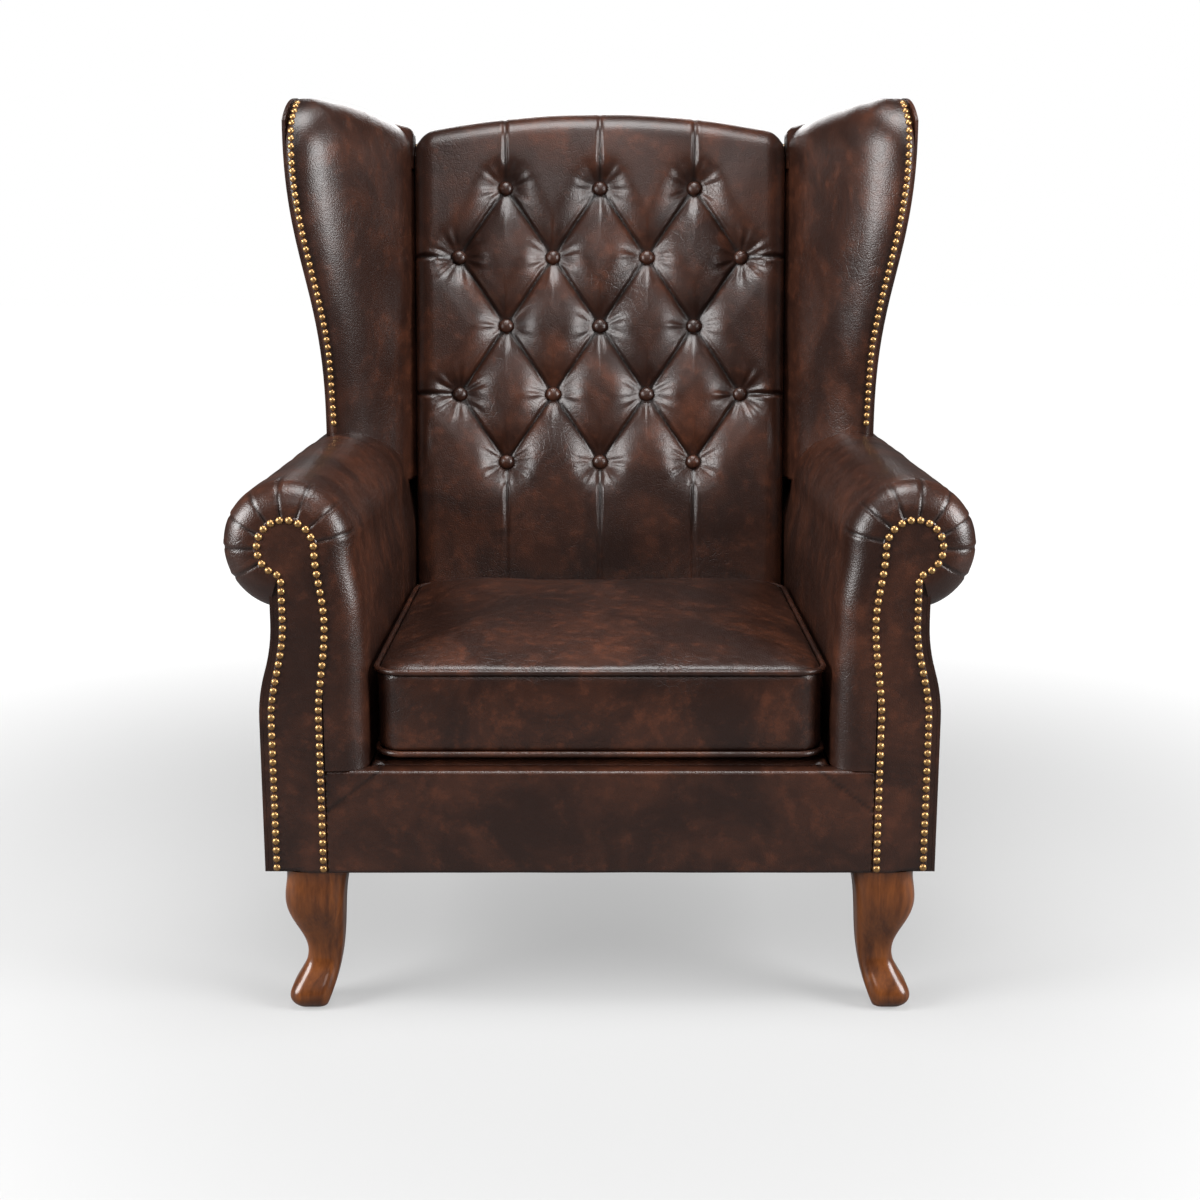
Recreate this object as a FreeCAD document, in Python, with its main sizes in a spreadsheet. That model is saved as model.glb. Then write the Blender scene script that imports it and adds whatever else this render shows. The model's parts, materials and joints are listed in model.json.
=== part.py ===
import FreeCAD, Part
import math
import os

from FreeCAD import Placement, Rotation, Vector
import Sketcher

doc = FreeCAD.newDocument("wing_armchair")

# Driving sizes in millimetres, and angles in degrees. X is right, Y is back, Z is up, floor at zero.
DRIVING_SIZES = {
    # seat opening and arms
    "seat_half_width": 262,
    "arm_clearance": 8,
    "arm_width": 123,
    "arm_front": -377,
    "arm_foot": 300,
    "arm_belly_drop": 82,
    "arm_roll_height": 562,
    "arm_roll_offset": 85,
    "arm_roll_radius": 75,
    "arm_neck_offset": 21,
    "arm_neck_drop": 87,
    "arm_shoulder_drop": 201,
    "arm_pad_thickness": 30,
    "arm_nose_radius": 33,
    "arm_rail_drop": 20,
    "facing_scroll_radius": 37,
    "facing_thickness": 5,
    "facing_margin": 10,
    "facing_neck_width": 57,
    "facing_foot_width": 64,
    "panel_thickness": 4,
    # wooden frame
    "scroll_board_thickness": 20,
    "rail_bottom": 176,
    "rail_height": 105,
    "rail_thickness": 26,
    "rear_rail_setback": 8,
    "tacking_rail_height": 32,
    "post_width": 42,
    "post_depth": 42,
    "top_rail_height": 70,
    "lower_back_rail_rise": 70,
    "lower_back_rail_height": 50,
    "corner_block_leg": 70,
    # inside back, in its own reclined plane
    "back_half_width": 268,
    "back_recline": 7.3,
    "back_face_height": 582,
    "back_face_depth": 207.4,
    "back_pad_depth": 62,
    "back_pad_roll": 30,
    "crest_rise": 503,
    "crest_drop": 29,
    "crest_pad": 12,
    "webbing_thickness": 2.5,
    "webbing_width": 50,
    "tuft_pitch": 68,
    "tuft_row": 98.3,
    "tuft_lowest_row": 3,
    "tuft_depth": 22,
    "fold_half_width": 44,
    "fold_depth": 15,
    "fold_rim": 2,
    "fold_bulge": 3.3,
    "fold_fade": 50,
    "fold_fade_scale": 0.2,
    "pleat_scale": 0.4,
    "well_radius": 25,
    "wing_edge_turn": 6,
    "wing_nose": 6,
    "wing_belly": 12,
    "button_radius": 9,
    "button_height": 6,
    "twine_radius": 1.2,
    # wings
    "wing_neck_spread": 14,
    "wing_flare": 33,
    "wing_neck_height": 720,
    "wing_flare_height": 1010,
    "wing_foot_reach": 125,
    "wing_head_reach": 40,
    "wing_top_height": 1085,
    "wing_top_rise": 34,
    "wing_corner_radius": 70,
    "wing_edge_width": 26,
    "wing_board_thickness": 20,
    "wing_pad_wrap": 14,
    "wing_top_round": 12,
    # seat suspension and cushion
    "deck_cloth_thickness": 1.5,
    "deck_pad_thickness": 12,
    "platform_thickness": 3,
    "cushion_front": -358,
    "cushion_rear": 164,
    "cushion_seam_rise": 11,
    "cushion_boxing": 98,
    "cushion_crown": 28,
    "cushion_draw": 7,
    "cushion_wall": 5,
    "cushion_corner": 34,
    "piping_radius": 5,
    "zip_half_length": 210,
    "zip_width": 22,
    "zip_thickness": 1.5,
    "zip_slider_length": 12,
    # legs
    "glide_height": 3,
    "glide_radius": 11,
    "front_leg_x": 334,
    "front_leg_y": -338,
    "front_leg_width": 76,
    "front_leg_ankle": 41,
    "front_leg_toe": 50,
    "front_leg_toe_out": 11,
    "rear_leg_width": 42,
    "rear_leg_foot": 30,
    "rear_leg_rake": 40,
    "leg_bolt_radius": 4,
    "leg_bolt_length": 80,
    "dust_cover_thickness": 1,
    # trim and clearances
    "nail_radius": 4.5,
    "nail_height": 3,
    "nail_pitch": 10.6,
    "wing_nail_turn": 65,
    "soft_gap": 0.3,
    "bore_gap": 0.15,
}

# Counts and shares that shape the forms.
CROSS_STRAPS = 4
LONG_STRAPS = 5
TUFT_ROWS = 5
WING_STEPS = 6
NAIL_SIDES = 6
NAIL_TIP = 0.45
LEG_CORNER = 0.3
CROWN_SHARES = (0.3, 0.85, 1.0, 0.85, 0.3)

# A cabriole leg: share of the way down, share of the toe's turn, and shares of knee, ankle and toe width.
LEG_STATIONS = (
    (0, 0, (1, 0, 0)),
    (0.17, 0.35, (0.92, 0, 0)),
    (0.4, 0.1, (0.5, 0.5, 0)),
    (0.64, -0.35, (0, 1, 0)),
    (0.86, 0.8, (0, 0, 1)),
    (1, 1, (0, 0, 0.72)),
)

# A drawing constraint can't hold a length of zero, so a corner on an axis stands this far off it.
ON_AXIS = "0.001"

sheet = doc.addObject("Spreadsheet::Sheet", "Sizes")
for row, (alias, number) in enumerate(DRIVING_SIZES.items(), start=1):
    sheet.set(f"A{row}", alias.replace("_", " "))
    sheet.set(f"B{row}", str(number))
    sheet.setAlias(f"B{row}", alias)
doc.recompute()


def size(alias):
    return float(sheet.get(alias))


# Places that several pieces share, as formulas of the driving sizes.
def of_sizes(text):
    for alias in sorted(DRIVING_SIZES, key=len, reverse=True):
        text = text.replace("$" + alias, "Sizes." + alias)
    return "(" + text + ")"


ARM_INNER = of_sizes("$seat_half_width + $arm_clearance")
ARM_OUTER = of_sizes(f"{ARM_INNER} + $arm_width")
ARM_BELLY = of_sizes("$arm_roll_height - $arm_belly_drop")
ARM_NECK = of_sizes("$arm_roll_height - $arm_neck_drop")
ARM_SHOULDER = of_sizes("$arm_roll_height - $arm_shoulder_drop")
ROLL_X = of_sizes(f"{ARM_INNER} + $arm_roll_offset")
ROLL_CORE = of_sizes("$arm_roll_radius - $arm_pad_thickness")
FRAME_INNER = of_sizes(f"{ARM_INNER} + $arm_pad_thickness + $soft_gap")
FRAME_OUTER = of_sizes(f"{ARM_OUTER} - $panel_thickness - $soft_gap")
NECK_X = of_sizes(f"{ROLL_X} + $arm_neck_offset")
BOARD_FRONT = of_sizes("$arm_front + $facing_thickness")
RAIL_FRONT = of_sizes(f"{BOARD_FRONT} + $scroll_board_thickness")
RAIL_REAR = of_sizes(f"{RAIL_FRONT} + $rail_thickness")
RAIL_TOP = of_sizes("$rail_bottom + $rail_height")
POST_OUTER = of_sizes(f"{FRAME_OUTER} - $rail_thickness")
POST_INNER = of_sizes(f"{POST_OUTER} - $post_width")
WING_REAR = of_sizes(f"{POST_OUTER} + $soft_gap + $panel_thickness")
LINING = of_sizes(f"{FRAME_INNER} + $panel_thickness")
DECK_CLOTH = of_sizes(f"{RAIL_TOP} + 2 * $webbing_thickness + $soft_gap")
DECK_PAD = of_sizes(f"{DECK_CLOTH} + $deck_cloth_thickness + $soft_gap")
PLATFORM = of_sizes(f"{DECK_PAD} + $deck_pad_thickness + $soft_gap")
SEAT_TOP = of_sizes(f"{PLATFORM} + $platform_thickness + $soft_gap")
POST_FRONT = of_sizes("$back_pad_depth + $soft_gap + $webbing_thickness")
POST_REAR = of_sizes(f"{POST_FRONT} + $post_depth")
BACK_PANEL = of_sizes(f"{POST_REAR} + $soft_gap")
RAIL_BOTTOM = of_sizes("$rail_bottom")
SEAM_LOW = of_sizes(f"{SEAT_TOP} + $cushion_seam_rise")
SEAM_HIGH = of_sizes(f"{SEAM_LOW} + $cushion_boxing")


def value(formula):
    return float(sheet.evalExpression(formula))


def minus(formula):
    return f"(-{formula})"


# The back's own frame: x across, y from the pillow tops towards the rear, z up along the recline.
def back_y(depth, rise):
    return of_sizes(f"$back_face_depth + {depth} * cos($back_recline) + {rise} * sin($back_recline)")


def back_z(depth, rise):
    return of_sizes(f"$back_face_height - {depth} * sin($back_recline) + {rise} * cos($back_recline)")


def back_rise(depth, height):
    return of_sizes(f"({height} - $back_face_height + {depth} * sin($back_recline)) / cos($back_recline)")


def back_place():
    turn = Rotation(Vector(1, 0, 0), -size("back_recline"))
    return Placement(Vector(0, size("back_face_depth"), size("back_face_height")), turn)


LOWER_RAIL = of_sizes(f"{back_rise(POST_FRONT, RAIL_TOP)} + $lower_back_rail_rise")

# The crest is an arc through its drop at the pad's corners. The top rail's arch lies under it.
ARCH_DROP = of_sizes("$crest_drop - $crest_pad")
CREST_ARC = of_sizes("($back_half_width ^ 2 + $crest_drop ^ 2) / (2 * $crest_drop)")
RAIL_ARCH = of_sizes(f"({POST_INNER} ^ 2 + {ARCH_DROP} ^ 2) / (2 * {ARCH_DROP})")


# Document helpers.
def box(label, x_range, y_range, z_range):
    piece = doc.addObject("Part::Box", label)
    for side, axis, (low, high) in zip(("Length", "Width", "Height"), "xyz", (x_range, y_range, z_range)):
        piece.setExpression(side, f"{high} - {low}")
        piece.setExpression(f"Placement.Base.{axis}", low)
    return piece


def back_box(label, x_range, depth_range, rise_range):
    piece = doc.addObject("Part::Box", label)
    for side, (low, high) in zip(("Length", "Width", "Height"), (x_range, depth_range, rise_range)):
        piece.setExpression(side, f"{high} - {low}")
    piece.Placement = Placement(Vector(), Rotation(Vector(-1, 0, 0), size("back_recline")))
    piece.setExpression("Placement.Rotation.Angle", "Sizes.back_recline")
    piece.setExpression("Placement.Base.x", x_range[0])
    piece.setExpression("Placement.Base.y", back_y(depth_range[0], rise_range[0]))
    piece.setExpression("Placement.Base.z", back_z(depth_range[0], rise_range[0]))
    return piece


def feature(label, shape):
    piece = doc.addObject("Part::Feature", label)
    piece.Shape = shape
    return piece


def mirrored(shape):
    return shape.mirror(Vector(), Vector(1, 0, 0))


def pair(name, right_shape):
    feature("right_" + name, right_shape)
    feature("left_" + name, mirrored(right_shape))


def both_boxes(name, x_range, y_range, z_range):
    box("right_" + name, x_range, y_range, z_range)
    box("left_" + name, (minus(x_range[1]), minus(x_range[0])), y_range, z_range)


def outward_arc(corner, following, radius):
    across = Vector(*following) - Vector(*corner)
    rise = math.sqrt(radius ** 2 - (across.Length / 2) ** 2)
    centre = (Vector(*corner) + Vector(*following)) / 2 + Vector(-across.y, across.x, 0).normalize() * rise
    first = math.atan2(corner[1] - centre.y, corner[0] - centre.x)
    last = math.atan2(following[1] - centre.y, following[0] - centre.x)
    return Part.ArcOfCircle(Part.Circle(centre, Vector(0, 0, 1), radius), first, last)


# A padded body: corners run anticlockwise, and a corner in arcs starts an outward arc of that radius.
def padded_body(label, role, corners, depth, arcs=None):
    arcs = arcs or {}
    body = doc.addObject("PartDesign::Body", label)
    sketch = body.newObject("Sketcher::SketchObject", label + "_outline")
    plane = next(item for item in body.Origin.OriginFeatures if item.Role == role)
    sketch.AttachmentSupport = (plane, [""])
    sketch.MapMode = "FlatFace"
    places = [(value(across), value(up)) for across, up in corners]
    count = len(corners)
    for index, place in enumerate(places):
        following = places[(index + 1) % count]
        if index in arcs:
            sketch.addGeometry(outward_arc(place, following, value(arcs[index])))
        else:
            sketch.addGeometry(Part.LineSegment(Vector(*place), Vector(*following)))
    for index in range(count):
        sketch.addConstraint(Sketcher.Constraint("Coincident", index, 2, (index + 1) % count, 1))
    for index, (across, up) in enumerate(corners):
        for kind, formula in (("DistanceX", across), ("DistanceY", up)):
            spot = sketch.addConstraint(Sketcher.Constraint(kind, -1, 1, index, 1, value(formula)))
            sketch.setExpression(f"Constraints[{spot}]", formula)
    for index, radius in arcs.items():
        spot = sketch.addConstraint(Sketcher.Constraint("Radius", index, value(radius)))
        sketch.setExpression(f"Constraints[{spot}]", radius)
    pad = body.newObject("PartDesign::Pad", label + "_pad")
    pad.Profile = sketch
    pad.setExpression("Length", depth)
    pad.Reversed = role == "XZ_Plane"
    return body


def place_in_back(piece, depth):
    piece.Placement = Placement(Vector(), Rotation(Vector(-1, 0, 0), size("back_recline")))
    piece.setExpression("Placement.Rotation.Angle", "Sizes.back_recline")
    piece.setExpression("Placement.Base.y", back_y(depth, "0"))
    piece.setExpression("Placement.Base.z", back_z(depth, "0"))


# Outlines of lines and arcs: a step is a point, or a middle point and an end point of an arc.
def arc_step(centre, start, end):
    middle = Vector(*start) + Vector(*end) - Vector(*centre) * 2
    radius = math.dist(centre, start)
    spot = Vector(*centre) + middle.normalize() * radius
    return ((spot.x, spot.y), end)


# Two equal arcs from one upright line to another.
def ogee_steps(start, end):
    across = end[0] - start[0]
    radius = (across ** 2 + (end[1] - start[1]) ** 2) / (4 * abs(across))
    middle = ((start[0] + end[0]) / 2, (start[1] + end[1]) / 2)
    side = math.copysign(radius, across)
    first = arc_step((start[0] + side, start[1]), start, middle)
    last = arc_step((end[0] - side, end[1]), middle, end)
    return [first, last]


def wire(to_space, start, steps):
    edges = []
    here = to_space(*start)
    for step in steps:
        if isinstance(step[0], tuple):
            end = to_space(*step[1])
            edges.append(Part.Arc(here, to_space(*step[0]), end).toShape())
        else:
            end = to_space(*step)
            edges.append(Part.LineSegment(here, end).toShape())
        here = end
    if (here - to_space(*start)).Length > 1e-6:
        edges.append(Part.LineSegment(here, to_space(*start)).toShape())
    return Part.Wire(edges)


def front_wire(y, start, steps):
    return wire(lambda across, up: Vector(across, y, up), start, steps)


def front_prism(y_low, y_high, start, steps):
    face = Part.Face(front_wire(y_low, start, steps))
    return face.extrude(Vector(0, y_high - y_low, 0))


def circle_drop(radius, across):
    return math.sqrt(radius ** 2 - across ** 2)


# Everything behind one depth of the back, and the room that its frame takes.
def behind_back(depth):
    reach = 3 * size("wing_top_height")
    slab = Part.makeBox(2 * reach, reach, 2 * reach, Vector(-reach, depth, -reach))
    slab.Placement = back_place()
    return slab


def back_frame_room(gap):
    low = Vector(0, value(POST_FRONT) - gap, -size("back_face_height"))
    tall = size("back_face_height") + size("crest_rise")
    room = Part.makeBox(value(POST_OUTER) + gap, size("post_depth") + 2 * gap, tall, low)
    room.Placement = back_place()
    return room


# Wooden frame.
def seat_frame():
    rail_heights = (RAIL_BOTTOM, RAIL_TOP)
    box("front_seat_rail", (minus(FRAME_OUTER), FRAME_OUTER), (RAIL_FRONT, RAIL_REAR), rail_heights)
    side_end = back_y(POST_REAR, back_rise(POST_REAR, RAIL_BOTTOM))
    both_boxes("side_rail", (POST_OUTER, FRAME_OUTER), (RAIL_REAR, side_end), rail_heights)
    rear_front = of_sizes(f"{POST_FRONT} + $rear_rail_setback")
    rail_low = back_rise(rear_front, RAIL_BOTTOM)
    rear_back = of_sizes(f"{rear_front} + $rail_thickness")
    back_box("rear_seat_rail", (minus(POST_INNER), POST_INNER), (rear_front, rear_back),
             (of_sizes(f"{rail_low} + $rear_rail_setback"), of_sizes(f"{rail_low} + $rail_height")))
    tack_low = of_sizes(f"{RAIL_TOP} + $rear_rail_setback")
    tack_end = back_y(POST_FRONT, back_rise(POST_FRONT, tack_low))
    both_boxes("tacking_rail", (LINING, POST_INNER), (RAIL_FRONT, tack_end),
               (tack_low, of_sizes(f"{tack_low} + $tacking_rail_height")))


def corner_blocks():
    leg = size("corner_block_leg")
    corner_x = value(POST_OUTER)
    corner_y = value(RAIL_REAR)
    points = [Vector(corner_x, corner_y, size("rail_bottom")),
              Vector(corner_x - leg, corner_y, size("rail_bottom")),
              Vector(corner_x, corner_y + leg, size("rail_bottom"))]
    block = Part.Face(Part.makePolygon(points + points[:1])).extrude(Vector(0, 0, size("rail_height")))
    bolt_x, bolt_y = front_bolt_place()
    bore = Part.makeCylinder(size("leg_bolt_radius") + size("bore_gap"), value(RAIL_TOP),
                             Vector(bolt_x, bolt_y, 0))
    block = block.cut(bore)
    feature("corner_blocks", Part.makeCompound([block, mirrored(block)]))


def front_bolt_place():
    inset = size("corner_block_leg") / 3
    return value(POST_OUTER) - inset, value(RAIL_REAR) + inset


# The bolt that joins a rear leg to its post, along the post.
def rear_bolt(gap):
    reach = size("leg_bolt_length") / 2
    foot = value(back_rise(POST_REAR, RAIL_BOTTOM))
    middle_x = (value(POST_INNER) + value(POST_OUTER)) / 2
    middle_depth = (value(POST_FRONT) + value(POST_REAR)) / 2
    bolt = Part.makeCylinder(size("leg_bolt_radius") + gap, 2 * reach + 2 * gap,
                             Vector(middle_x, middle_depth, foot - reach - gap))
    bolt.Placement = back_place().multiply(bolt.Placement)
    return bolt


def back_frame():
    foot = back_rise(POST_REAR, RAIL_BOTTOM)
    post_top = of_sizes("$crest_rise - $crest_drop - $crest_pad")
    bores = {"right": rear_bolt(size("bore_gap"))}
    bores["left"] = mirrored(bores["right"])
    ranges = {"right": (POST_INNER, POST_OUTER), "left": (minus(POST_OUTER), minus(POST_INNER))}
    for side, x_range in ranges.items():
        post = doc.addObject("Part::Cut", side + "_back_post")
        post.Base = back_box(side + "_post_log", x_range, (POST_FRONT, POST_REAR), (foot, post_top))
        post.Tool = feature(side + "_post_bore_log", bores[side])
    inside = (minus(POST_INNER), POST_INNER)
    back_box("lower_back_rail", inside, (POST_FRONT, of_sizes(f"{POST_FRONT} + $rail_thickness")),
             (LOWER_RAIL, of_sizes(f"{LOWER_RAIL} + $lower_back_rail_height")))
    bottom = of_sizes(f"{post_top} - $top_rail_height")
    corners = [(minus(POST_INNER), bottom), (POST_INNER, bottom), (POST_INNER, post_top),
               (minus(POST_INNER), post_top)]
    rail = padded_body("top_rail", "XZ_Plane", corners, of_sizes("$post_depth"), {2: RAIL_ARCH})
    place_in_back(rail, POST_FRONT)


# Arms. Every outline is drawn for the right arm, in x and z.
def roll_steps(radius, stop_x):
    centre = (value(ROLL_X), size("arm_roll_height"))
    left = (centre[0] - radius, centre[1])
    top = (centre[0], centre[1] + radius)
    right = (centre[0] + radius, centre[1])
    stop = (stop_x, centre[1] - circle_drop(radius, stop_x - centre[0]))
    return [arc_step(centre, left, top), arc_step(centre, top, right), arc_step(centre, right, stop)], stop


# The inner side of an arm and its roll, set in from the outer skin.
def arm_side_steps(inset, stop_x):
    radius = size("arm_roll_radius") - inset
    belly = (value(ARM_INNER) + inset, value(ARM_BELLY))
    roll_left = (value(ROLL_X) - radius, size("arm_roll_height"))
    steps, stop = roll_steps(radius, stop_x)
    return [belly] + ogee_steps(belly, roll_left) + steps, stop


def panel_steps(inset):
    neck = (value(NECK_X) - inset, value(ARM_NECK))
    shoulder = (value(ARM_OUTER) - inset, value(ARM_SHOULDER))
    return [neck] + ogee_steps(neck, shoulder) + [(shoulder[0], size("rail_bottom"))]


def facing_outline(inset):
    centre = (value(ROLL_X), size("arm_roll_height"))
    radius = size("facing_scroll_radius") - inset
    outer_neck = value(NECK_X) - size("facing_margin") - inset
    outer_foot = value(ARM_OUTER) - size("facing_margin") - inset
    inner_neck = value(NECK_X) - size("facing_margin") - size("facing_neck_width") + inset
    inner_foot = value(ARM_OUTER) - size("facing_margin") - size("facing_foot_width") + inset
    foot = size("rail_bottom") + inset
    shoulder = value(ARM_SHOULDER)
    neck = value(ARM_NECK)
    scroll = roll_steps(radius, outer_neck)[0]
    steps = [(inner_foot, shoulder)]
    steps += ogee_steps((inner_foot, shoulder), (inner_neck, neck))
    steps += ogee_steps((inner_neck, neck), (centre[0] - radius, centre[1]))
    steps += scroll
    steps += [(outer_neck, neck)]
    steps += ogee_steps((outer_neck, neck), (outer_foot, shoulder))
    steps += [(outer_foot, foot)]
    return (inner_foot, foot), steps


def arm_pad():
    front = size("arm_front")
    board_front = value(BOARD_FRONT)
    foot = size("arm_foot")
    gap = size("soft_gap")
    stop_x = value(NECK_X) + gap
    rear = value(back_y(BACK_PANEL, of_sizes("$crest_rise")))
    start = (value(ARM_INNER), foot)
    steps, stop = arm_side_steps(0, stop_x)
    middle_x = value(NECK_X) - size("facing_margin") - size("facing_neck_width") / 2
    block = front_prism(front, rear, start, steps + [(middle_x, stop[1]), (middle_x, foot)])
    skin_edges = []
    for edge in block.Edges:
        box_of_edge = edge.BoundBox
        spot = edge.valueAt((edge.FirstParameter + edge.LastParameter) / 2)
        on_front = abs(box_of_edge.YMin - front) < 1e-6 and abs(box_of_edge.YMax - front) < 1e-6
        on_skin = spot.x < middle_x - 1 or spot.z > stop[1] + 1
        if on_front and on_skin and spot.z > foot + 1:
            skin_edges.append(edge)
    block = block.makeFillet(size("arm_nose_radius"), skin_edges)
    inner, inner_stop = arm_side_steps(size("arm_pad_thickness"), stop_x)
    core_start = (value(ARM_INNER) + size("arm_pad_thickness"), foot - 1)
    core = front_prism(board_front, rear, core_start, inner + [(stop_x, foot - 1)])
    core = core.cut(behind_back(value(POST_FRONT)))
    under_roll = [(stop_x, foot - 1), inner_stop, (core_start[0], inner_stop[1])]
    rear_room = front_prism(board_front, rear, core_start, under_roll)
    pocket = front_prism(front - 1, board_front, *facing_outline(-gap))
    pad = block.cut([core, rear_room, pocket, behind_back(value(POST_REAR)), back_frame_room(gap)])
    pair("arm_pad", pad)


def arm_facing():
    pair("arm_facing", front_prism(size("arm_front"), value(BOARD_FRONT), *facing_outline(0)))


def scroll_board():
    gap = size("soft_gap")
    stop_x = value(NECK_X) - size("panel_thickness") - gap
    side = arm_side_steps(size("arm_pad_thickness") + gap, stop_x)[0]
    start = (value(FRAME_INNER), size("rail_bottom"))
    steps = side + panel_steps(size("panel_thickness") + gap)
    pair("arm_scroll_board", front_prism(value(BOARD_FRONT), value(RAIL_FRONT), start, steps))


def outside_arm_panel():
    inside = panel_steps(size("panel_thickness"))
    outside = panel_steps(0)
    top = size("arm_roll_height") - value(ROLL_CORE)
    start = (outside[0][0], top)
    under = (inside[-1][0], inside[-1][1])
    back_up = [(inside[-1][0], value(ARM_SHOULDER))]
    shoulder = back_up[0]
    neck = inside[0]
    back_up += ogee_steps(shoulder, neck) + [(neck[0], top)]
    rear = value(back_y(BACK_PANEL, of_sizes("$crest_rise")))
    panel = front_prism(value(BOARD_FRONT), rear, start, outside + [under] + back_up)
    pair("outside_arm_panel", panel.cut(behind_back(value(POST_REAR))))


def arm_rail():
    radius = of_sizes(f"{ROLL_CORE} - $soft_gap")
    half = of_sizes(f"sqrt({radius} ^ 2 - $arm_rail_drop ^ 2)")
    drop = minus(of_sizes("$arm_rail_drop"))
    reach = of_sizes(f"{back_y(POST_FRONT, of_sizes('$crest_rise'))} - {RAIL_FRONT}")
    rear = feature("rear_limit", behind_back(value(POST_FRONT)))
    for side, centre in (("left", minus(ROLL_X)), ("right", ROLL_X)):
        corners = [(minus(half), drop), (half, drop), (radius, ON_AXIS), (ON_AXIS, radius),
                   (minus(radius), ON_AXIS)]
        log = padded_body(side + "_arm_rail_log", "XZ_Plane", corners, reach,
                          {1: radius, 2: radius, 3: radius, 4: radius})
        log.setExpression("Placement.Base.x", centre)
        log.setExpression("Placement.Base.y", RAIL_FRONT)
        log.setExpression("Placement.Base.z", of_sizes("$arm_roll_height"))
        rail = doc.addObject("Part::Cut", side + "_arm_rail")
        rail.Base = log
        rail.Tool = rear


def arm_lining():
    tack_low = of_sizes(f"{RAIL_TOP} + $rear_rail_setback")
    end = back_y(POST_FRONT, back_rise(POST_FRONT, tack_low))
    both_boxes("arm_lining", (FRAME_INNER, LINING), (RAIL_FRONT, end), (tack_low, ARM_BELLY))


# Inside back: pillows between straight diagonal folds that cross at the buttons.
def tuft_places():
    places = []
    for row in range(TUFT_ROWS):
        columns = (-2, 0, 2) if row % 2 == 0 else (-3, -1, 1, 3)
        places += [(column, row) for column in columns]
    return places


def tuft_spot(column, row):
    return Vector(column * size("tuft_pitch"), 0, size("tuft_lowest_row") + row * size("tuft_row"))


def fold_section(centre, direction, scale):
    across = direction.cross(Vector(0, 1, 0)).normalize()
    half = size("fold_half_width") * scale
    depth = size("fold_depth") * scale
    rim = -size("fold_rim")
    bulge = size("fold_bulge") * scale

    def spot(along, down):
        return centre + across * along + Vector(0, down, 0)

    middle = (rim + depth) / 2 - bulge
    edges = [Part.Arc(spot(-half, rim), spot(-half / 2, middle), spot(0, depth)).toShape(),
             Part.Arc(spot(0, depth), spot(half / 2, middle), spot(half, rim)).toShape(),
             Part.LineSegment(spot(half, rim), spot(-half, rim)).toShape()]
    return Part.Wire(edges)


def fold(start, end, fade_start, fade_end, scale=1):
    direction = (end - start).normalize()
    faded = scale * size("fold_fade_scale")
    sections = [fold_section(start, direction, scale), fold_section(end, direction, scale)]
    if fade_start:
        sections.insert(0, fold_section(start - direction * size("fold_fade"), direction, faded))
    if fade_end:
        sections.append(fold_section(end + direction * size("fold_fade"), direction, faded))
    return Part.makeLoft(sections, True, True)


def diagonal_folds():
    spots = set(tuft_places())
    folds = []
    for lean in (1, -1):
        for column, row in sorted(spots):
            if (column - lean, row - 1) in spots:
                continue
            last = (column, row)
            while (last[0] + lean, last[1] + 1) in spots:
                last = (last[0] + lean, last[1] + 1)
            if last != (column, row):
                folds.append(fold(tuft_spot(column, row), tuft_spot(*last), True, True))
    return folds


def straight_folds(bottom, top):
    folds = []
    pleat = size("pleat_scale")
    side = size("back_half_width") + size("fold_fade")
    for column in (-2, 0, 2):
        head = tuft_spot(column, TUFT_ROWS - 1)
        foot = tuft_spot(column, 0)
        folds.append(fold(head, Vector(head.x, 0, top + size("fold_fade")), False, False, pleat))
        folds.append(fold(Vector(foot.x, 0, bottom - size("fold_fade")), foot, False, False, pleat))
    for row in (1, 3):
        for column, edge in ((3, side), (-3, -side)):
            spot = tuft_spot(column, row)
            folds.append(fold(spot, Vector(edge, 0, spot.z), False, False, pleat))
    return folds


def button_well(spot):
    floor = size("button_radius") + size("soft_gap")
    depth = size("tuft_depth")
    well = Part.makeCone(size("well_radius"), floor, depth - size("fold_rim"),
                         spot + Vector(0, size("fold_rim"), 0), Vector(0, 1, 0))
    bore = Part.makeCylinder(size("twine_radius") + size("bore_gap"), size("back_pad_depth"),
                             spot, Vector(0, 1, 0))
    return [well, bore]


def crest_steps(half, end_rise, radius):
    rise = radius - math.sqrt(radius ** 2 - half ** 2)
    return [(half, end_rise), ((0, end_rise + rise), (-half, end_rise))]


def tufted_back():
    half = size("back_half_width")
    bottom = value(back_rise(of_sizes("$back_pad_depth"), SEAT_TOP))
    corner_rise = size("crest_rise") - size("crest_drop")
    depth = value(POST_REAR)
    outline = [(half, bottom)] + crest_steps(half, corner_rise, value(CREST_ARC))
    block = front_prism(0, depth, (-half, bottom), outline)
    rounded = []
    for edge in block.Edges:
        reach = edge.BoundBox
        if reach.YMax < 1e-6 and reach.ZMax > bottom + 1:
            rounded.append(edge)
    block = block.makeFillet(size("back_pad_roll"), rounded)
    wide = value(POST_INNER)
    arch_end = corner_rise - size("crest_pad") + size("soft_gap")
    room = [(wide, bottom - 1)] + crest_steps(wide, arch_end, value(RAIL_ARCH))
    rail_room = front_prism(size("back_pad_depth"), depth + 1, (-wide, bottom - 1), room)
    wells = []
    for column, row in tuft_places():
        wells += button_well(tuft_spot(column, row))
    pad = block.cut(rail_room)
    pad = pad.cut(wells)
    for groove in diagonal_folds() + straight_folds(bottom, size("crest_rise")):
        pad = pad.cut(groove)
    feature("tufted_back", pad).Placement = back_place()


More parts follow.
